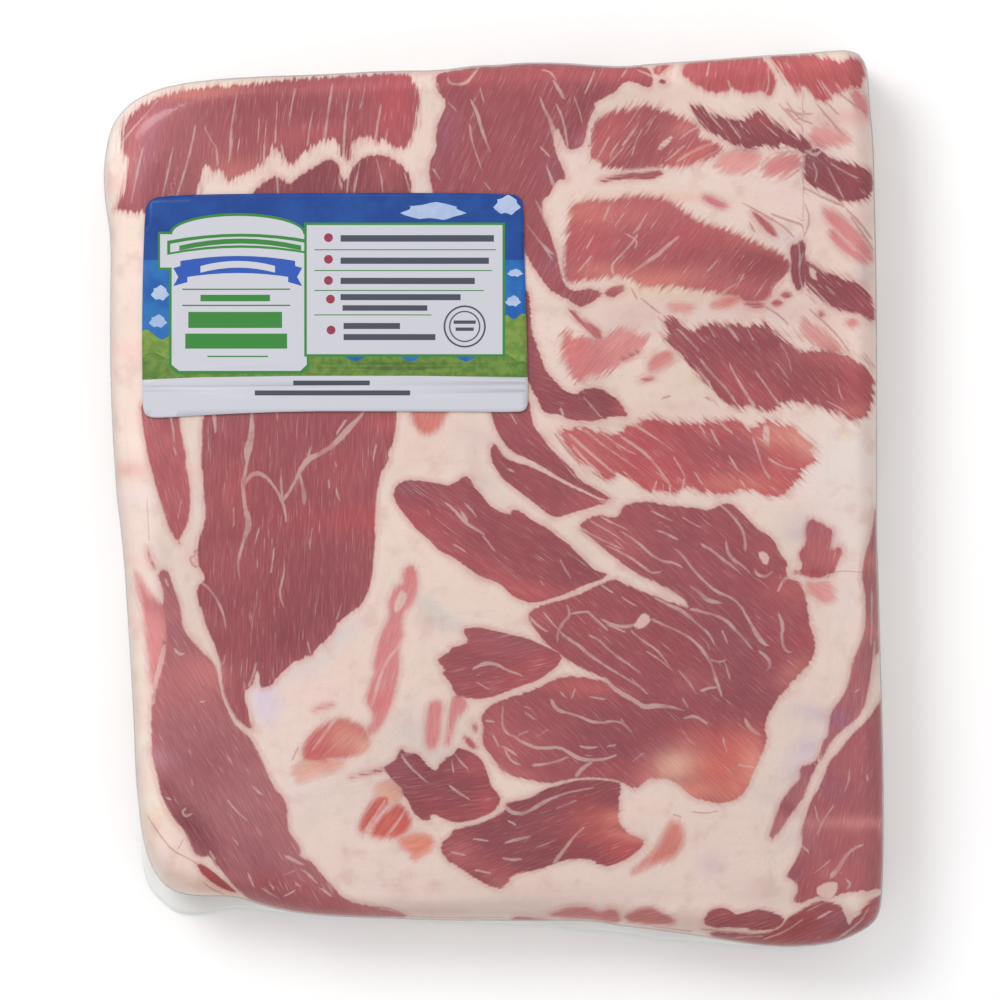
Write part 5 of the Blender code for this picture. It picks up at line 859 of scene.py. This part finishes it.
def meat_material():
    n = Nodes("pork_belly")
    f = n.split(n.attr("fibre", "Vector"))
    trimming = n.split(n.attr("trim", "Vector"))
    coarse = n.noise(n.join(n.math("MULTIPLY", f[0], 0.13), n.math("MULTIPLY", f[1], 0.95), f[2]), 1.0, 2.0)
    fine = n.noise(n.join(n.math("MULTIPLY", f[0], 0.16), n.math("MULTIPLY", f[1], 2.1), f[2]), 1.0, 3.0)
    hair = n.noise(n.join(n.math("MULTIPLY", f[0], 0.11), n.math("MULTIPLY", f[1], 1.5), n.math("ADD", f[2], 9.0)), 1.0, 2.0)
    place = n.node("ShaderNodeTexCoord").outputs["Object"]
    wobble = n.noise(place, 900.0, 3.0)
    blotch = n.noise(place, 110.0, 3.0)
    broad = n.noise(place, 38.0, 2.0)
    shift = n.math("ADD", n.math("MULTIPLY", n.math("SUBTRACT", coarse, 0.5), n.math("MULTIPLY", trimming[1], 4.6)),
                   n.math("MULTIPLY", n.math("SUBTRACT", wobble, 0.5), 0.75))
    cover = None
    rim = None
    for c in range(LEAN_CHANNELS):
        d = n.math("ADD", n.attr("lean_%d" % c), shift)
        mask = n.step(d, n.math("MULTIPLY", trimming[0], -0.9), n.math("MULTIPLY", trimming[0], 0.9))
        cover = mask if cover is None else n.math("MAXIMUM", cover, mask)
        glow = n.step(n.math("ADD", n.attr("lean_%d" % c), n.math("MULTIPLY", shift, 1.7)), -2.6, 0.1)
        rim = glow if rim is None else n.math("MAXIMUM", rim, glow)
    patch_mask = n.step(n.math("ADD", n.attr("fat_cut"), n.math("MULTIPLY", n.math("SUBTRACT", wobble, 0.5), 1.0)), -0.3, 0.4)
    cover = n.math("MULTIPLY", cover, n.math("SUBTRACT", 1.0, patch_mask))

    def line_mask(prefix, count, half):
        total = None
        for c in range(count):
            v = n.split(n.attr("%s_%d" % (prefix, c), "Vector"))
            sway = n.math("ADD", v[0], n.math("MULTIPLY", n.math("SUBTRACT", wobble, 0.5), 0.55))
            gap = n.math("ADD", n.math("SUBTRACT", v[1], n.math("ABSOLUTE", sway)), n.math("MULTIPLY", n.math("SUBTRACT", blotch, 0.5), 0.35))
            mask = n.step(gap, -half, half)
            total = mask if total is None else n.math("MAXIMUM", total, mask)
        return total

    strands = line_mask("strand", STRAND_CHANNELS, 0.27)
    threads = line_mask("thread", THREAD_CHANNELS, 0.30)
    # fine marbling along the fibres, and the dark and light of the fibres themselves
    marbling = n.math("MULTIPLY", n.step(hair, 0.60, 0.74), n.math("MULTIPLY", n.step(blotch, 0.36, 0.62), n.math("ADD", 0.46, n.math("MULTIPLY", trimming[2], 0.40))))
    lean_tone = n.attr("lean_tone", "Vector")
    lean_dark = n.mix(n.math("MULTIPLY", n.step(fine, 0.62, 0.36), 0.34), lean_tone, (0.62, 0.50, 0.54, 1), "MULTIPLY")
    lean_light = n.mix(n.math("MULTIPLY", n.step(fine, 0.52, 0.74), 0.30), lean_dark, rgba((206, 148, 146)))
    lean_light = n.mix(n.math("MULTIPLY", n.step(broad, 0.48, 0.30), 0.30), lean_light, (0.70, 0.60, 0.66, 1), "MULTIPLY")
    fat_tone = n.attr("fat_tone", "Vector")
    fat_look = n.mix(n.math("MULTIPLY", n.step(blotch, 0.50, 0.72), 0.38), fat_tone, rgba((222, 184, 174)))
    fat_look = n.mix(n.math("MULTIPLY", n.step(broad, 0.52, 0.30), 0.40), fat_look, rgba((234, 217, 206)))
    fat_look = n.mix(n.math("MULTIPLY", n.step(wobble, 0.56, 0.74), 0.14), fat_look, rgba((206, 176, 170)))
    fat_look = n.mix(n.math("MULTIPLY", rim, 0.42), fat_look, rgba((222, 164, 156)))
    streak = n.math("MULTIPLY", n.math("MULTIPLY", rim, trimming[2]), n.step(hair, 0.50, 0.66))
    fat_look = n.mix(n.math("MULTIPLY", streak, 0.55), fat_look, rgba((206, 132, 128)))
    strand_look = n.mix(0.42, fat_tone, lean_tone)
    strand_look = n.mix(0.30, strand_look, rgba((214, 184, 180)))
    body = n.mix(n.math("MULTIPLY", marbling, 1.0), lean_light, strand_look)
    body = n.mix(n.math("MULTIPLY", strands, n.math("ADD", 0.42, n.math("MULTIPLY", n.step(blotch, 0.36, 0.60), 0.42))), body, strand_look)
    look = n.mix(cover, fat_look, body)
    only_fat = n.math("MULTIPLY", threads, n.math("SUBTRACT", 1.0, cover))
    look = n.mix(n.math("MULTIPLY", only_fat, 0.62), look, rgba((190, 124, 122)))
    relief = n.math("ADD", n.math("MULTIPLY", fine, 0.5), n.math("ADD", n.math("MULTIPLY", cover, -0.5), n.math("MULTIPLY", blotch, 0.9)))
    bump = n.node("ShaderNodeBump")
    n.put(bump.inputs["Strength"], 0.30)
    n.put(bump.inputs["Distance"], 0.0006)
    n.put(bump.inputs["Height"], relief)
    p = n.node("ShaderNodeBsdfPrincipled")
    n.put(p.inputs["Base Color"], look)
    n.put(p.inputs["Roughness"], 0.42)
    p.inputs["Specular IOR Level"].default_value = 0.25
    n.put(p.inputs["Normal"], bump.outputs[0])
    return n.finish(p.outputs[0])


def film_material():
    n = Nodes("clear_film")
    place = n.node("ShaderNodeTexCoord").outputs["Object"]
    bump = n.node("ShaderNodeBump")
    n.put(bump.inputs["Strength"], 0.35)
    n.put(bump.inputs["Distance"], 0.0005)
    n.put(bump.inputs["Height"], n.noise(place, 260.0, 3.0))
    fresnel = n.node("ShaderNodeFresnel")
    fresnel.inputs["IOR"].default_value = 1.42
    n.put(fresnel.inputs["Normal"], bump.outputs[0])
    clear, gloss, haze = n.node("ShaderNodeBsdfTransparent"), n.node("ShaderNodeBsdfGlossy"), n.node("ShaderNodeBsdfDiffuse")
    clear.inputs["Color"].default_value = (0.985, 0.99, 0.985, 1)
    gloss.inputs["Roughness"].default_value = 0.12
    n.put(gloss.inputs["Normal"], bump.outputs[0])
    haze.inputs["Color"].default_value = (0.97, 0.98, 0.96, 1)
    veil = n.node("ShaderNodeMixShader")
    n.put(veil.inputs[0], n.math("MULTIPLY", n.attr("flap"), 0.62))
    n.put(veil.inputs[1], clear.outputs[0])
    n.put(veil.inputs[2], haze.outputs[0])
    mixed = n.node("ShaderNodeMixShader")
    n.put(mixed.inputs[0], n.math("MULTIPLY", fresnel.outputs[0], 0.75))
    n.put(mixed.inputs[1], veil.outputs[0])
    n.put(mixed.inputs[2], gloss.outputs[0])
    return n.finish(mixed.outputs[0])


def plain(name, rgb, roughness=0.45, specular=0.4, second=None, scale=300.0):
    n = Nodes(name)
    p = n.node("ShaderNodeBsdfPrincipled")
    if second is None:
        p.inputs["Base Color"].default_value = rgba(rgb)
    else:
        place = n.node("ShaderNodeTexCoord").outputs["Object"]
        n.put(p.inputs["Base Color"], n.mix(n.step(n.noise(place, scale, 3.0), 0.35, 0.65), rgba(rgb), rgba(second)))
    p.inputs["Roughness"].default_value = roughness
    p.inputs["Specular IOR Level"].default_value = specular
    return n.finish(p.outputs[0])


meat.data.materials.append(meat_material())

# ------------------------------------------------------------------ the film: drawn tight round the slab, with the flat margins of the bag
shell, shell_faces, shell_cap, shell_info = slab(2.6, [0, 0.6, 1.6, 3.2], 12, grow=0.42)
rim_xy = shell_info["flat"][shell_info["rim"]]
rim_out, rim_n = shell_info["out"], shell_info["n"]
px = (rim_xy[:, 0] - MID_X) / UNIT + (BOARD_LEFT + BOARD_RIGHT) / 2
py = -(rim_xy[:, 1] - MID_Y) / UNIT + (BOARD_TOP + BOARD_BOTTOM) / 2
low_margin = np.interp(px, [120, 145, 160, 182, 204, 236, 265, 303, 351, 399, 446, 500, 532, 580, 628, 666, 723, 771, 800, 835, 860, 880],
                       [4, 12, 20, 26, 25, 19, 10, 6, 5, 7, 9, 8, 11, 15, 14, 15, 9, 7, 8, 5, 6, 3])
margin = 2.0 + (low_margin - 2.0) * smooth((py - 800) / 90)
margin = np.where((py < 90), 3.0 + 1.5 * np.sin(px / 37), margin)
margin = (margin + 0.8 * np.sin(np.arange(rim_n) * 0.21) + 0.5 * np.sin(np.arange(rim_n) * 0.57)) * UNIT
margin = np.clip(margin, 0.4, 10)
count = len(shell)
flap_pts, flap_faces = [], []
lift = 2.2 + 1.0 * np.sin(np.arange(rim_n) * 0.13) + 0.5 * np.sin(np.arange(rim_n) * 0.41)
profile = [(-2.6, 0.0, 0.15), (0.3, 0.4, 0.15), (0.5, 0.2, 0.15), (0.8, -0.2, 0.12), (1.0, -0.5, 0.1)]
loops = []
for sign in (1, -1):
    for reach, rise, half in (profile if sign == 1 else profile[::-1]):
        distance = np.where(reach < 0, reach, reach * margin)
        loops.append(np.c_[rim_xy + rim_out * distance[:, None], lift + rise + sign * half])
for i, ring in enumerate(loops):
    now = count + i * rim_n + np.arange(rim_n)
    after = count + ((i + 1) % len(loops)) * rim_n + np.arange(rim_n)
    flap_faces.append(np.c_[now, np.roll(now, -1), np.roll(after, -1), after])
film = to_mesh("film", np.vstack([shell] + loops), np.vstack([shell_faces] + flap_faces), [shell_cap])
attribute(film, "flap", "FLOAT", np.r_[np.zeros(count), np.ones(len(loops) * rim_n)])
film.data.materials.append(film_material())

# ------------------------------------------------------------------ the label: fields of colour and plain bars
def arc_points(cx, cy, r, start=0, stop=360, n=28, squash=1.0):
    return [(cx + r * math.cos(math.radians(a)), cy + r * squash * math.sin(math.radians(a))) for a in np.linspace(start, stop, n, endpoint=stop - start < 360)]


def bar(x0, y0, x1, y1, bow=0.0):
    xs = np.linspace(x0, x1, 9)
    mid = (x0 + x1) / 2
    curve = bow * (1 - ((xs - mid) / (x1 - mid)) ** 2)
    return [(x, y0 - c) for x, c in zip(xs, curve)] + [(x, y1 - c) for x, c in zip(xs[::-1], curve[::-1])]


def blob(cx, cy, rx, ry, wob=0.18, turns=5):
    return [(cx + rx * (1 + wob * math.sin(turns * a)) * math.cos(a), cy + ry * (1 + wob * math.cos(turns * a + 1)) * math.sin(a)) for a in np.linspace(0, 2 * math.pi, 26, endpoint=False)]


LABEL_EDGE = [(148, 213), (151, 205), (158, 200), (175, 198.5), (205, 197), (300, 196), (420, 195.5), (512, 196.5), (520, 200), (523, 207), (524, 250), (525.5, 300), (527, 360), (528, 404), (525, 411), (518, 413),
              (460, 412.5), (380, 412), (300, 412), (220, 415), (165, 418.5), (152, 418), (146.5, 413), (145.5, 400), (145, 330), (146, 270)]
ragged = [(x, 358 + 3 * math.sin(x / 9) + 2 * math.sin(x / 4.3)) for x in np.linspace(140, 535, 70)]
SHAPES = [
    ("sky_low", [(140, 262), (535, 262), (535, 365), (140, 365)]),
    ("cloud", blob(434, 214, 29, 8)), ("cloud", blob(163, 295, 8, 7)), ("cloud", blob(161, 323, 8, 6)), ("cloud", blob(507, 208, 12, 9)), ("cloud", blob(515, 275, 7, 3.6)), ("cloud", blob(513, 303, 7, 5)),
    ("grass", [(140, 340)] + [(x, 336 + 5 * math.sin(x / 5)) for x in np.linspace(142, 176, 12)] + [(178, 372), (505, 368), (505, 318)] + [(x, 318 + 3 * math.sin(x / 3)) for x in np.linspace(507, 532, 8)] + [(535, 392), (140, 392)]),
    ("grass_dark", ragged + [(535, 384), (140, 388)]),
    ("paper", [(140, 381), (200, 378.5), (300, 377), (420, 377), (535, 378.5), (535, 430), (140, 430)]),
    ("green", bar(161, 234, 325, 272) ), ("green", [(172, 266), (311, 266), (311, 369), (304, 375), (180, 375), (172, 368)]),
    ("green", arc_points(240, 236, 68, 180, 360, 30, 0.30) + [(308, 240), (172, 240)]),
    ("paper", arc_points(240, 236, 65, 180, 360, 30, 0.27) + [(305, 241), (175, 241)]), ("paper", bar(163, 236.5, 322.5, 269.5)), ("paper", [(174.5, 262), (308.5, 262), (308.5, 366), (302, 372), (182, 372), (174.5, 366)]),
    ("green", bar(170, 243, 315, 257, 7)), ("paper", bar(173, 246, 312, 254.5, 7)), ("green", bar(182, 247.8, 303, 252.8, 7)),
    ("ribbon", bar(183, 263, 297, 280, 5)), ("ribbon", [(176, 270), (190, 266), (190, 284), (176, 288), (181, 279)]), ("ribbon", [(304, 270), (290, 266), (290, 284), (304, 288), (299, 279)]), ("paper", bar(203, 268, 277, 274.6, 5)),
    ("green", bar(185, 290.4, 292, 291.8)), ("green", bar(203, 296.5, 272, 303)), ("green", bar(185, 306.4, 292, 307.8)), ("green", bar(191, 313.5, 284, 329.5)), ("green", bar(188, 335, 289, 350)), ("green", bar(210, 357, 270, 358.4)),
    ("green", bar(306, 225, 505, 358)), ("paper", bar(308.5, 227.5, 502.5, 355.5)),
    ("green", bar(316, 251.5, 496, 252.5)), ("green", bar(316, 272.1, 492, 273.1)), ("green", bar(316, 291.9, 484, 292.9)), ("green", bar(316, 316.1, 432, 317.1)),
    ("tick", arc_points(330, 240, 4.4)), ("tick", arc_points(330, 261.5, 4.4)), ("tick", arc_points(330, 282.5, 4.4)), ("tick", arc_points(332, 301, 4.4)), ("tick", arc_points(332.6, 331.6, 4.4)),
    ("ink", bar(342, 237.5, 494, 244)), ("ink", bar(342, 259.8, 489, 266)), ("ink", bar(342, 279.8, 475, 286)), ("ink", bar(342, 296, 461, 302)), ("ink", bar(344, 307, 428, 312.5)), ("ink", bar(345, 324.6, 401, 330.6)), ("ink", bar(345, 335.6, 436, 341.6)),
    ("ink", arc_points(465, 328, 21)), ("paper", arc_points(465, 328, 19.2)), ("ink", arc_points(465, 328, 15.6)), ("paper", arc_points(465, 328, 14.2)), ("ink", bar(454, 322, 476, 325.4)), ("ink", bar(456, 329, 474, 332.4)),
    ("ink", bar(295, 381.6, 371, 386.4)), ("ink", bar(257, 391.4, 411, 396.4)),
]
INKS = {
    "sky": ((4, 56, 132), (14, 68, 142)), "sky_low": ((14, 84, 158), (30, 104, 170)), "cloud": ((172, 184, 212), (150, 172, 206)), "grass": ((120, 146, 62), (96, 128, 50)), "grass_dark": ((80, 114, 44), (104, 134, 54)),
    "paper": ((193, 193, 202), None), "green": ((48, 124, 50), None), "ribbon": ((34, 80, 168), None), "ink": ((66, 70, 82), None), "tick": ((142, 50, 68), None),
}
edge = chaikin(np.array(LABEL_EDGE))
xs, ys = np.meshgrid(np.arange(142, 532, 7.0), np.arange(192, 424, 7.0))
grid = np.c_[xs.ravel(), ys.ravel()]
grid = grid[signed(grid, edge) > 1.5]
cdt_points, cdt_edges = [tuple(p) for p in grid], []


def add_loop(points):
    start = len(cdt_points)
    cdt_points.extend((float(x), float(y)) for x, y in points)
    n = len(points)
    cdt_edges.extend((start + i, start + (i + 1) % n) for i in range(n))


add_loop(edge)
for _, points in SHAPES:
    add_loop(points)
out_points, _, out_faces, _, _, _ = geometry.delaunay_2d_cdt([Vector(p) for p in cdt_points], cdt_edges, [], 0, 1e-4)
flat2 = np.array([(p[0], p[1]) for p in out_points])
tris = np.array([f for f in out_faces if len(f) == 3])
mid = flat2[tris].mean(1)
kind = np.zeros(len(tris), int)
names = list(INKS)
for name, points in SHAPES:
    kind[inside(mid, np.array(points, float))] = names.index(name)
keep = inside(mid, edge)
tris, kind = tris[keep], kind[keep]
used, packed = np.unique(tris, return_inverse=True)
tris = packed.reshape(-1, 3)
plane = board(flat2[used])
area = np.cross(plane[tris[:, 1]] - plane[tris[:, 0]], plane[tris[:, 2]] - plane[tris[:, 0]])
tris, kind = tris[np.abs(area) > 1e-7], kind[np.abs(area) > 1e-7]
area = area[np.abs(area) > 1e-7]
tris[area < 0] = tris[area < 0][:, ::-1]
depth = near_segments(plane, outline, np.roll(outline, -1, axis=0))[0]
top_z = height(plane, depth) + 0.85
sheet = np.vstack([np.c_[plane, top_z], np.c_[plane, top_z - 0.25]])
m = len(plane)
directed = {}
for t in tris:
    for a, b in ((t[0], t[1]), (t[1], t[2]), (t[2], t[0])):
        directed[(int(a), int(b))] = True
rim_edges = [e for e in directed if (e[1], e[0]) not in directed]
sheet_faces = [tuple(t) for t in tris] + [tuple(t[::-1] + m) for t in tris] + [(b, a, a + m, b + m) for a, b in rim_edges]
label = to_mesh("printed_label", sheet, sheet_faces)
for name in names:
    first, second = INKS[name]
    label.data.materials.append(plain("print_" + name, first, 0.38, 0.35, second, 420.0 if "grass" in name else 120.0))
slots = np.r_[kind, np.full(len(tris), names.index("paper")), np.full(len(rim_edges), names.index("paper"))]
if len(slots) == len(label.data.polygons):
    label.data.polygons.foreach_set("material_index", slots.astype(np.int32))

for piece in (meat, film):
    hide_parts("sealed_pack")
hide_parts("label")
for piece in (meat, film, label):
    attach(piece, "root")

# ------------------------------------------------------------------ floor, light, camera
floor_mesh = bpy.data.meshes.new("floor")
floor_mesh.from_pydata([(-3, -3, -0.0006), (3, -3, -0.0006), (3, 3, -0.0006), (-3, 3, -0.0006)], [], [(0, 1, 2, 3)])
floor = bpy.data.objects.new("floor", floor_mesh)
bpy.context.scene.collection.objects.link(floor)
floor.data.materials.append(plain("pale_floor", (250, 250, 250), 0.9, 0.1))

world = bpy.data.worlds.new("studio")
bpy.context.scene.world = world
world.use_nodes = True
world.node_tree.nodes["Background"].inputs[0].default_value = (1, 1, 1, 1)
world.node_tree.nodes["Background"].inputs[1].default_value = 0.88


def lamp(name, where_at, size, power):
    data = bpy.data.lights.new(name, "AREA")
    data.shape, data.size, data.energy = "DISK", size, power
    made = bpy.data.objects.new(name, data)
    made.location = where_at
    made.rotation_euler = (Vector((0, 0, 0)) - Vector(where_at)).to_track_quat("-Z", "Y").to_euler()
    bpy.context.scene.collection.objects.link(made)


lamp("key", (-0.9, 0.9, 1.5), 0.9, 14.0)
scene = bpy.context.scene
scene.view_settings.view_transform = "Standard"
lens = 200.0
cam_data = bpy.data.cameras.new("camera")
cam_data.lens, cam_data.sensor_width = lens, 36.0
cam_data.clip_end = 20
camera = bpy.data.objects.new("camera", cam_data)
aim = board([(500, 500)])[0] * MM
camera.location = (aim[0], aim[1], 0.020 + 1000 * UNIT * MM * lens / 36.0)
camera.rotation_euler = (0, 0, 0)
scene.collection.objects.link(camera)
scene.camera = camera
